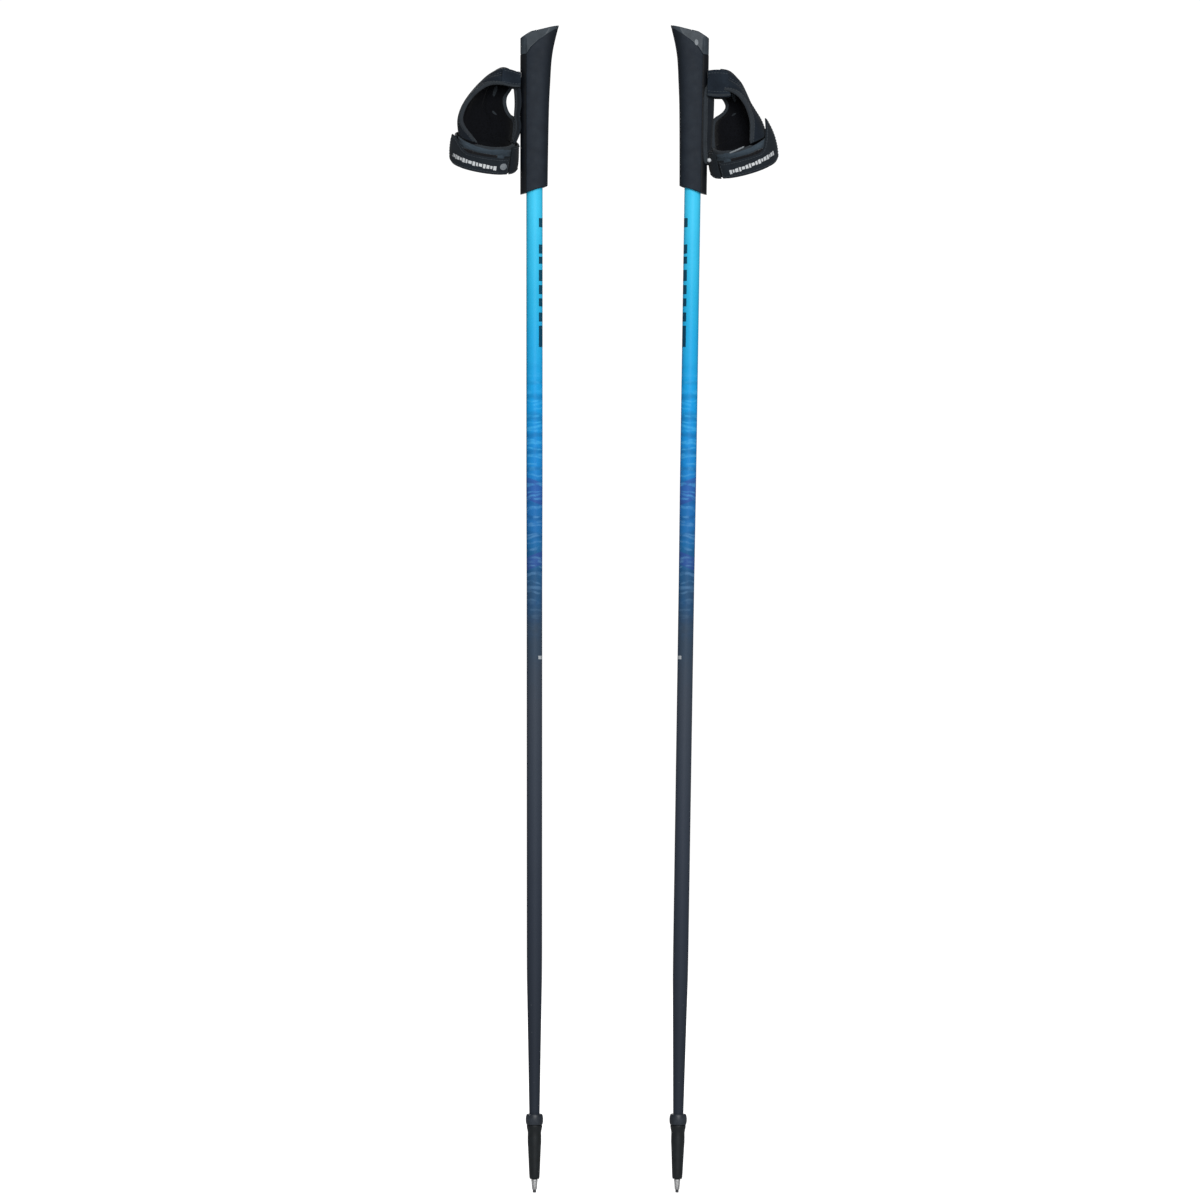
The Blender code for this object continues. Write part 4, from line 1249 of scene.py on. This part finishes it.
def dress_small_parts(pole):
    """The bar and the spring keep their CAD shapes, with softened edges."""
    for node, material in (("strap_bar", "pin_steel"), ("catch_spring", "spring_steel")):
        obj = frame["nodes"][f"{pole.side}_{node}"]
        obj.data.materials.clear()
        obj.data.materials.append(pole.materials[material])
        soften_edges(obj, 0.00012, 40)


# --- strap --------------------------------------------------------------------------------------------
def cuff_frame(strap):
    """The wrist ring's own axes: X towards the grip, Y to the far side, Z along the ring's axis."""
    pitch = Matrix.Rotation(strap["cuff_pitch"], 4, "Y")
    roll = Matrix.Rotation(CUFF_ROLL, 4, "X")
    return Matrix.Translation((CUFF_X, 0.0, strap["cuff_height"])) @ pitch @ roll


def cuff_point(strap, degrees, half_length, height):
    """A point on the ring: degrees round it, on the layer with that half length, at a height along it."""
    angle = math.radians(degrees)
    half_depth = half_length - CUFF_SQUEEZE
    return cuff_frame(strap) @ Vector((half_length * math.cos(angle), half_depth * math.sin(angle), height))


def cuff_out(strap, degrees):
    return (cuff_point(strap, degrees, 0.031, 0) - cuff_point(strap, degrees, 0.030, 0)).normalized()


def arc_length(start, end, layer):
    return math.radians(abs(end - start)) * (layer - CUFF_SQUEEZE / 2)


def panel_point(strap, across, along):
    """A point of the hand panel: across from the near edge to the far, along from the cuff to the tongue."""
    y_axis = cuff_frame(strap).col[1].to_3d()
    foot = cuff_point(strap, 180, CUFF_MIDDLE, CUFF_HALF_HEIGHT - 0.001)
    pitch = math.degrees(strap["cuff_pitch"])
    first = (foot.x, foot.z, pitch, CUFF_MIDDLE, CUFF_MIDDLE - CUFF_SQUEEZE, *strap["foot_wrap"])
    x, z, inwards, half_length, half_depth, near, far = smooth_row((first, *strap["panel"]), along)
    share = max(0.0, 1 - 3 * along)
    sideways = (share * y_axis + (1 - share) * Vector((0, 1, 0))).normalized()
    inward = Vector((math.cos(math.radians(inwards)), 0.0, -math.sin(math.radians(inwards))))
    angle = math.radians(-near + (near + far) * across)
    return (
        Vector((x, foot.y * share, z))
        + inward * half_length * (1 - math.cos(angle))
        + sideways * half_depth * math.sin(angle)
    )


PANEL_SIZE = (0.082, 0.078)  # across and along, about
PANEL_HALF = 0.0012  # half its thickness
PANEL_SEAMS = (0.24, 0.60)  # across
PANEL_TAPE = 0.745  # across, where a tape covers a seam of the lining
PANEL_TAPE_ENDS = (0.24, 0.66)  # along


def panel_swell(across, along, way):
    """Padding between the seams, and small folds that run down from the tongue."""
    channel = max(math.exp(-(((across - seam) * PANEL_SIZE[0] / 0.0016) ** 2)) for seam in PANEL_SEAMS)
    folds = math.sin(across * 34 + 3 * along) * eased(0.45, 0.95, along)
    sag = math.sin(along * 17 + across * 5) * eased(0.35, 0.7, across) * eased(0.9, 0.5, along)
    return 0.0004 - 0.0011 * channel + (0.00055 * folds + 0.0004 * sag) * way


def build_hand_panel(pole):
    strap = pole.strap

    def at(u, v):
        return panel_point(strap, u, v)

    mesh = padded_sheet(at, PANEL_SIZE, PANEL_HALF, (0.0017, 0.0017), swell=panel_swell, flip=True)
    flat = [tuple(item.vector) for item in mesh.attributes["cloth"].data]
    pinned = []
    for u, v, side in flat:
        at_seam = any(abs(u / PANEL_SIZE[0] - seam) < 0.018 for seam in PANEL_SEAMS)
        pinned.append(at_seam or abs(side) < 0.98)
    mesh = subdivided(puffed(mesh, pinned, 0.0009))
    panel = pole.piece("hand_pad", mesh, "panel_padding", "strap", replaces=["hand_panel"])
    steps = 56
    inset = 0.0015
    meshes, thread_meshes = [], []
    for edge, way in ((0.0, 1), (1.0, -1)):
        line = [(edge, v) for v in spaced(0, 1, steps)]
        points, across = [], []
        for u, v in line:
            side = (at(u + way * 0.03, v) - at(u, v)).normalized()
            points.append(at(u, v) + side * inset)
            across.append(side)
        meshes.append(sweep(points, across, 0.0022, 0.0020, 2.8, 14))
        normals = [surface_normal(at, min(max(u, 0.01), 0.99), min(max(v, 0.01), 0.99)) for u, v in line]
        for face in (1, -1):
            lifted = [
                point + side * 0.0017 + normal * face * 0.00185
                for point, side, normal in zip(points, across, normals)
            ]
            thread_meshes.append(stitches(lifted, [normal * face for normal in normals]))
    pole.piece("pad_binding", joined(meshes), "binding", "strap", slot="panel_padding")
    for seam in PANEL_SEAMS:
        for offset in (-0.021, 0.021):
            line = [(seam + offset, v) for v in spaced(0.05, 0.95, steps)]
            normals = [-surface_normal(at, u, v) for u, v in line]
            points = [at(u, v) + normal * (PANEL_HALF + 0.0002) for (u, v), normal in zip(line, normals)]
            thread_meshes.append(stitches(points, normals))
    pole.piece("pad_stitches", joined(thread_meshes), "thread", "strap", slot="panel_padding")
    line = [(PANEL_TAPE, v) for v in spaced(*PANEL_TAPE_ENDS, 24)]
    points = [at(u, v) + surface_normal(at, u, v) * (PANEL_HALF + 0.0004) for u, v in line]
    across = [at(u + 0.02, v) - at(u, v) for u, v in line]
    tape = sweep(points, across, 0.0026, 0.0009, 2.4, 10)
    pole.piece("pad_seam_tape", tape, "binding", "strap", slot="panel_padding")


WEB_HALF_WIDTH = 0.0098
WEB_HALF = 0.0012  # half its thickness


def build_web(pole):
    rows = pole.strap["web"]

    def at(u, v):
        x, height, wrap = smooth_row(rows, v)
        place = 2 * u - 1
        y = WEB_HALF_WIDTH * place * (1 - 0.04 * wrap / 0.005)
        return Vector((x + wrap * place * place, y, height))

    length = sum((Vector(a[:2]) - Vector(b[:2])).length for a, b in zip(rows, rows[1:]))

    def swell(u, v, way):
        return 0.0004 * math.sin(math.pi * u) ** 2

    mesh = padded_sheet(at, (2 * WEB_HALF_WIDTH, length), WEB_HALF, (0.0012, 0.0018), swell=swell)
    web = pole.piece("thumb_strip", mesh, "web_padding", "strap", replaces=["thumb_web"])
    steps = 40
    tapes, threads = [], []
    inset = pole.strap["web_tape"]
    for edge, way in ((inset, 1), (1.0 - inset, -1)):
        line = [(edge, v) for v in spaced(0.02, 0.98, steps)]
        across = [at(edge + way * 0.05, v) - at(edge, v) for _, v in line]
        points = [at(edge, v) + side.normalized() * 0.0011 for (_, v), side in zip(line, across)]
        tapes.append(sweep(points, across, 0.0022, 0.0019, 2.8, 12))
        for face in (1, -1):
            normals = [surface_normal(at, edge + way * 0.05, v) * face for _, v in line]
            lifted = [
                point + side.normalized() * 0.0013 + normal * 0.0017
                for point, side, normal in zip(points, across, normals)
            ]
            threads.append(stitches(lifted, normals))
    pole.piece("strip_binding", joined(tapes), "binding", "strap", slot="web_padding")
    pole.piece("strip_stitches", joined(threads), "thread", "strap", slot="web_padding")


def build_tongue(pole):
    """Webbing doubled round the bar, box stitched behind it."""
    loop = 0.0025
    upper = [(-0.0320, 1.1056), (-0.0285, 1.1052), (-0.0250, 1.1040)]
    lower = [(-0.0238, 1.1018), (-0.0262, 1.1030), (-0.0290, 1.1038), (-0.0320, 1.1041)]
    around = []
    for i in range(13):
        angle = math.radians(100 - 200 * i / 12)
        around.append((BAR_X + loop * math.cos(angle), PLUG_MIDDLE + loop * math.sin(angle)))
    rows = [*upper, *around, *lower]
    length = sum((Vector(a) - Vector(b)).length for a, b in zip(rows, rows[1:]))

    def at(u, v):
        x, height = smooth_row(rows, v)
        return Vector((x, TONGUE_HALF_WIDTH * (2 * u - 1), height))

    mesh = padded_sheet(at, (2 * TONGUE_HALF_WIDTH, length), 0.0006, (0.0011, 0.0010))
    pole.piece("tongue_webbing", mesh, "webbing", "strap", replaces=["strap_tongue"])
    threads = []
    for start, end in (((0.12, 0.04), (0.12, 0.16)), ((0.88, 0.04), (0.88, 0.16)), ((0.12, 0.16), (0.88, 0.16))):
        line = list(zip(spaced(start[0], end[0], 8), spaced(start[1], end[1], 8)))
        normals = [surface_normal(at, u, v) for u, v in line]
        normals = [normal if normal.z > 0 else -normal for normal in normals]
        threads.append(stitches([at(u, v) + n * 0.00065 for (u, v), n in zip(line, normals)], normals))
    pole.piece("tongue_stitches", joined(threads), "thread", "strap", slot="webbing")
    steps = 16
    roll = [Vector((-0.0198, 0.0086 * (2 * i / steps - 1), 1.0921)) for i in range(steps + 1)]
    leaning = [Vector((0.94, 0.0, -0.34))] * len(roll)
    pole.piece("throat_roll", sweep(roll, leaning, 0.0050, 0.0042, 2.4, 28), "web_padding", "strap")


def build_cheeks(pole):
    """The hood's two front ends, which reach past the yoke on its outside."""
    strap = pole.strap
    front_top, back_top, back_foot, front_foot = (Vector(corner) for corner in strap["cheek"])
    size = ((front_top - back_top).length, (front_top - front_foot).length)
    meshes, edges, threads = [], [], []
    for way in (-1, 1):

        def at(u, v):
            x, height = front_foot.lerp(back_foot, u).lerp(front_top.lerp(back_top, u), v)
            height += 0.0011 * math.sin(math.pi * u) * (1 if v > 0.5 else -1) * abs(2 * v - 1)
            return Vector((x, way * (0.0140 + 0.0005 * u**3), height))

        def swell(u, v, face):
            return 0.00035 * math.sin(7 * u + 9 * v) * math.sin(math.pi * v)

        meshes.append(padded_sheet(at, size, 0.0006, (0.0012, 0.0012), swell=swell, flip=way < 0))
        steps = 18
        line = [(i / steps, 0.07) for i in range(steps + 1)]
        across = [at(u, v + 0.05) - at(u, v) for u, v in line]
        edges.append(sweep([at(u, v) for u, v in line], across, 0.0013, 0.0010, 2.6, 10))
        for v in (0.20, 0.88):
            outwards = [Vector((0, way, 0))] * (steps + 1)
            threads.append(stitches([at(i / steps, v) + outwards[0] * 0.0008 for i in range(steps + 1)], outwards))
    cheeks = pole.piece("hood_cheeks", joined(meshes), "panel_padding", "strap")
    pole.piece("cheek_binding", joined(edges), "binding", "strap", slot="panel_padding")
    pole.piece("cheek_stitches", joined(threads), "thread", "strap", slot="panel_padding")


def ring_sheet(strap, arc, layer, low, high, half, spacing, swell=None, closed=False, rim=None):
    """A curved piece on the wrist ring. layer, low and high are numbers, or functions of the degrees."""
    start, end = arc

    def number(value, *places):
        return value(*places) if callable(value) else value

    def at(u, v):
        degrees = start + (end - start) * u
        bottom, top = number(low, degrees), number(high, degrees)
        return cuff_point(strap, degrees, number(layer, degrees, v), bottom + (top - bottom) * v)

    middle = (start + end) / 2
    size = (arc_length(start, end, number(layer, middle, 0.5)), number(high, middle) - number(low, middle))
    return padded_sheet(at, size, half, spacing, closed, swell, rim=rim)


def near_side(degrees):
    """1 on the near side of the ring, 0 on the far side."""
    return 0.5 - 0.5 * math.sin(math.radians(degrees))


def foot_low(degrees):
    """The lower edge of the ring's layers, raised where the ring turns at the back and at the grip."""
    turns = ((degrees - 183) / 20, ((degrees + 180) % 360 - 180) / 20)
    return -CUFF_HALF_HEIGHT + FOOT_RISE * sum(math.exp(-turn * turn) for turn in turns)


def rim_high(degrees):
    """The cuff's top edge."""
    return CUFF_HALF_HEIGHT - RIM_DROP * near_side(degrees) ** 2


def build_cuff(pole):
    strap = pole.strap
    half = (CUFF_LAYER[1] - CUFF_LAYER[0]) / 2
    seam_places = (0.30, 0.72)

    def swell(u, v, way):
        degrees = 360 * u
        channel = max(math.exp(-(((v - seam) * 0.0284 / 0.0014) ** 2)) for seam in seam_places)
        wander = 1.6 * math.sin(u * 47) + 0.9 * math.sin(u * 83 + 1)
        folds = math.sin(v * 46 + wander) * near_side(degrees) * eased(0.45, 0.7, v)
        puff = 0.0009 * near_side(degrees) * eased(0.55, 0.9, v) if way > 0 else 0.0
        return puff - 0.0008 * channel + 0.00045 * folds * way

    mesh = ring_sheet(strap, (0, 360), CUFF_MIDDLE, foot_low, rim_high, half, (0.0017, 0.0014), swell, True)
    tall = rim_high(180.0) - foot_low(180.0)
    pinned = []
    for _, v, side in (tuple(item.vector) for item in mesh.attributes["cloth"].data):
        pinned.append(any(abs(v / tall - seam) < 0.045 for seam in seam_places) or abs(side) < 0.98)
    mesh = subdivided(puffed(mesh, pinned, 0.0007))
    cuff = pole.piece("wrist_cuff", mesh, "cuff_padding", "strap", replaces=["cuff"])
    free = spaced(*FREE_RIM, 44)
    whole = [3 * i for i in range(120)]
    up = cuff_frame(strap).col[2].to_3d()
    tapes, threads = [], []
    for edge, degrees, inward in ((rim_high, free, -1), (foot_low, whole, 1)):
        points = [cuff_point(strap, d, CUFF_MIDDLE, edge(d) + inward * 0.0012) for d in degrees]
        tapes.append(sweep(points, [up] * len(points), 0.0026, half + 0.0006, 2.8, 14, degrees is whole))
        loop = [*degrees, 360] if degrees is whole else degrees
        for face in (1, -1):
            layer = CUFF_MIDDLE + face * (half + 0.0005)
            points = [cuff_point(strap, d, layer, edge(d) + inward * 0.0030) for d in loop]
            threads.append(stitches(points, [cuff_out(strap, d) * face for d in loop]))
    pole.piece("cuff_binding", joined(tapes), "binding", "strap", slot="cuff_padding")
    pole.piece("cuff_stitches", joined(threads), "thread", "strap", slot="cuff_padding")


def rib_swell(height):
    """Lengthwise ribs and a thicker selvedge."""

    def swell(u, v, way):
        from_edge = min(v, 1 - v) * height
        selvedge = 0.00022 * math.exp(-((from_edge - 0.0016) ** 2) / 0.0009**2)
        ribs = 0.00010 * math.cos(2 * math.pi * v * height / 0.0024)
        return selvedge + (ribs if from_edge > 0.0028 else 0.0) - 0.0001

    return swell


def tab_high(strap):
    """The tab's top edge: full height at its free end, where a corner may stand up, then lower."""

    def high(degrees):
        corner = strap["corner"] * (1 - eased(186, 236, degrees))
        return CUFF_HALF_HEIGHT + corner - TAB_TOP_STEP * eased(192, 244, degrees)

    return high


def build_bands(pole):
    strap = pole.strap
    half = (BAND_LAYER[1] - BAND_LAYER[0]) / 2
    tall = 2 * CUFF_HALF_HEIGHT

    def band_layer(degrees, v=0.5):
        """The band dives under the tab's free end, and its foot bulges towards the grip."""
        bulge = strap["band_bulge"] * (1 - v) * (1 - 0.5 * (1 - v) ** 4) * eased(42, 12, abs(degrees))
        return BAND_HALF - 0.0012 * eased(168, 188, degrees) + bulge

    def tab_layer(degrees, v=0.5):
        """The tab's free end stands away from the ring, and its top leans out or in."""
        stand = strap["tab_flare"] * v * v + strap["tab_belly"] * 4 * v * (1 - v)
        return BAND_HALF + (0.0004 + stand) * (1 - eased(186, 214, degrees))

    mesh = ring_sheet(
        strap, (-32, 194), band_layer, foot_low, CUFF_HALF_HEIGHT, half * 0.8, (0.0028, 0.0005), rib_swell(tall)
    )
    pole.piece("outer_band", mesh, "band_fabric", "strap", replaces=["wrist_band"])
    high = tab_high(strap)
    mesh = ring_sheet(
        strap, (186.5, 324.5), tab_layer, foot_low, high, half * 0.9, (0.0028, 0.0005), rib_swell(tall)
    )
    pole.piece("band_tab", mesh, "tab_fabric", "tab", replaces=["cuff_tab"])
    threads = []
    across = spaced(189, 322, 60)
    for edge_height in (lambda d: high(d) - 0.0019, lambda d: foot_low(d) + 0.0019):
        points = []
        for d in across:
            v = (edge_height(d) - foot_low(d)) / (high(d) - foot_low(d))
            points.append(cuff_point(strap, d, tab_layer(d, v) + half + 0.00005, edge_height(d)))
        threads.append(stitches(points, [cuff_out(strap, d) for d in across]))
    for d in (190.0, 192.5, 321.0):
        points = []
        for i in range(13):
            height = foot_low(d) + 0.002 + (high(d) - foot_low(d) - 0.004) * i / 12
            v = (height - foot_low(d)) / (high(d) - foot_low(d))
            points.append(cuff_point(strap, d, tab_layer(d, v) + half + 0.00005, height))
        threads.append(stitches(points, [cuff_out(strap, d)] * len(points)))
    pole.piece("tab_stitches", joined(threads), "thread", "tab", slot="tab_fabric")
    threads = []
    across = spaced(-29, 167, 80)
    for v in (0.07, 0.93):
        points = []
        for d in across:
            height = foot_low(d) * (1 - v) + CUFF_HALF_HEIGHT * v
            points.append(cuff_point(strap, d, band_layer(d, v) + half * 0.8 + 0.00025, height))
        threads.append(stitches(points, [cuff_out(strap, d) for d in across]))
    pole.piece("band_stitches", joined(threads), "thread", "strap", slot="band_fabric")
    build_fold(pole)
    edge = 0.004
    mesh = ring_sheet(
        strap, (196, 249), sum(HOOK_LAYER) / 2, -CUFF_HALF_HEIGHT + edge, 0.0052, 0.00035, (0.0028, 0.0020)
    )
    pole.piece("hook_tape_patch", mesh, "hook_tape", "tab", replaces=["hook_patch"])
    edge = 0.003
    mesh = ring_sheet(
        strap, (201, 299), sum(LOOP_LAYER) / 2, -CUFF_HALF_HEIGHT + edge, 0.0044, 0.00035, (0.0028, 0.0020)
    )
    pole.piece("loop_tape_patch", mesh, "loop_tape", "strap", replaces=["loop_patch"])


def build_fold(pole):
    """The strip that joins the tab to the band, behind both."""
    strap = pole.strap
    mesh = ring_sheet(
        strap, (314, 338), 0.0298, lambda d: foot_low(d) + 0.0004, 0.0040, 0.0004, (0.0008, 0.0012)
    )
    fold = pole.add("tab_fold", mesh, "band_fabric", "band_fabric")
    start = pole.place(cuff_point(strap, TAB_HINGE_ANGLE + 2.5, BAND_HALF, 0.0))
    end = pole.place(cuff_point(strap, TAB_HINGE_ANGLE - 2.5, BAND_HALF, 0.0))
    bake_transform(fold)


def build_prints(pole):
    """Plain bars and a plain dot, in place of lettering."""
    strap = pole.strap
    (start, start_height), (end, end_height) = strap["print_line"]
    bars = strap["print_bars"]
    gap = 0.7
    total = sum(bars) + gap * (len(bars) - 1)
    layer = BAND_LAYER[1] + 0.00022
    bar_half = 0.0021
    place, meshes = 0.0, []
    for i, length in enumerate(bars):
        first, last = (start + (end - start) * share / total for share in (place, place + length))
        place += length + gap

        def height_at(degrees):
            return start_height + (end_height - start_height) * (degrees - start) / (end - start)

        short = 0.0004 * (i % 3)
        mesh = ring_sheet(
            strap,
            (first, last),
            layer,
            lambda d: height_at(d) - bar_half + short,
            lambda d: height_at(d) + bar_half - short / 2,
            0.00016,
            (0.0012, 0.0010),
            rim=0.0004,
        )
        meshes.append(mesh)
    pole.piece("tab_bars", joined(meshes), "white_ink", "tab", slot="tab_fabric")
    if pole.side == "left":
        dot = ring_disc(strap, 311, -0.0060, layer, 0.0040, 0.0033)
        pole.piece("tab_dot", dot, "grey_ink", "tab", slot="tab_fabric")
    else:
        # a thin pale grey line laid along the cuff's near top edge
        line = zip(spaced(266, 297, 20), spaced(0.0128, 0.0102, 20))
        points = [cuff_point(strap, d, CUFF_LAYER[1] + 0.0013, height) for d, height in line]
        ups = [cuff_frame(strap).col[2].to_3d()] * len(points)
        pale_line = sweep(points, ups, 0.0008, 0.0003, 2.4, 8)
        pole.piece("cuff_pale_line", pale_line, "grey_ink", "strap", slot="cuff_padding")
        build_snap(pole)


def ring_disc(strap, degrees, height, layer, half_long, half_high):
    """A flat oval laid on the ring."""
    turn = math.degrees(half_long / (layer - CUFF_SQUEEZE / 2))
    rings = []
    for share, lift in ((1.0, -0.0002), (1.0, 0.00005), (0.9, 0.00015), (0.45, 0.00015)):
        ring = []
        for angle in whole_turn(28):
            across = degrees + turn * share * math.cos(angle)
            ring.append(cuff_point(strap, across, layer + lift, height + half_high * share * math.sin(angle)))
        rings.append(ring)
    return loft(rings)


def build_snap(pole):
    """A small domed snap on the near edge of the right strip's foot."""
    centre = Vector((-0.0158, -0.0108, 1.0170))
    profile = [(0.0, 0.0011), (0.0009, 0.0010), (0.0017, 0.0006), (0.0020, 0.0), (0.0020, -0.0012), (0.0, -0.0012)]
    mesh = turned(profile, 32, False)
    mesh.transform(Matrix.Translation(centre) @ Matrix.Rotation(math.pi / 2, 4, "X"))
    pole.piece("strip_snap", mesh, "white_ink", "strap", slot="connector_plastic")


def build_pole(side, materials):
    pole = Pole(side, materials)
    build_shaft(pole)
    build_tip(pole)
    build_sleeve(pole)
    build_core(pole)
    build_head(pole)
    build_button(pole)
    build_connector(pole)
    dress_small_parts(pole)
    build_tongue(pole)
    build_web(pole)
    build_hand_panel(pole)
    build_cheeks(pole)
    build_cuff(pole)
    build_bands(pole)
    build_prints(pole)
    if side == "right":
        build_head_mark(pole)


# --- stage --------------------------------------------------------------------------------------------
CAMERA_PLACE = (-0.0136, -6.57, 0.5839)
SURROUND = 0.14  # how bright the white surround is as a light
FLOOR_FILL = 0.14  # how bright the white floor is as a light
LIGHTS = (  # name, place, diameter, watts
    ("front", (0.4, -3.0, 1.7), 1.5, 84.0),
    ("back", (-0.6, 2.9, 2.2), 1.5, 80.0),
)
LIGHTS_TARGET = Vector((0, 0, 0.75))


def build_stage():
    """A white floor, a white surround, and a broad soft light in front and one behind."""
    bpy.ops.mesh.primitive_plane_add(size=60.0, location=(0, 0, -0.0002))
    floor = bpy.context.object
    floor.name = "floor"
    paper = Look("floor_paper", 0.9, specular_ior_level=0.0)
    paper.shader.inputs["Emission Color"].default_value = (1, 1, 1, 1)
    seen = paper.node("ShaderNodeLightPath").outputs["Is Camera Ray"]
    glow = paper.math("MULTIPLY_ADD", seen, 1.0 - FLOOR_FILL, FLOOR_FILL)
    paper.feed(paper.shader.inputs["Emission Strength"], glow)
    grain = paper.noise(paper.node("ShaderNodeTexCoord").outputs["Object"], 3.0)
    floor.data.materials.append(paper.finish(paper.mix(grain, (0.30, 0.30, 0.30, 1), (0.32, 0.32, 0.32, 1))))
    world = bpy.data.worlds.new("surround")
    scene.world = world
    world.use_nodes = True
    tree = world.node_tree
    background = tree.nodes["Background"]
    background.inputs[0].default_value = (1, 1, 1, 1)
    path = tree.nodes.new("ShaderNodeLightPath")
    strength = tree.nodes.new("ShaderNodeMapRange")
    strength.inputs["To Min"].default_value = SURROUND
    strength.inputs["To Max"].default_value = 1.05
    tree.links.new(path.outputs["Is Camera Ray"], strength.inputs["Value"])
    tree.links.new(strength.outputs[0], background.inputs[1])
    for name, place, size, power in LIGHTS:
        light = bpy.data.lights.new(name, "AREA")
        light.shape = "DISK"
        light.size = size
        light.energy = power
        lamp = bpy.data.objects.new(name, light)
        lamp.location = place
        lamp.rotation_euler = (LIGHTS_TARGET - Vector(place)).to_track_quat("-Z", "Y").to_euler()
        scene.collection.objects.link(lamp)
    scene.view_settings.view_transform = "Standard"
    camera = bpy.data.objects.new("camera", bpy.data.cameras.new("camera"))
    camera.data.lens = 200
    camera.data.sensor_width = 36
    camera.location = CAMERA_PLACE
    camera.rotation_euler = (math.pi / 2, 0, 0)
    camera.data.clip_end = 100
    scene.collection.objects.link(camera)
    scene.camera = camera


build_stage()
all_materials = make_materials()
for which in ("left", "right"):
    build_pole(which, all_materials)
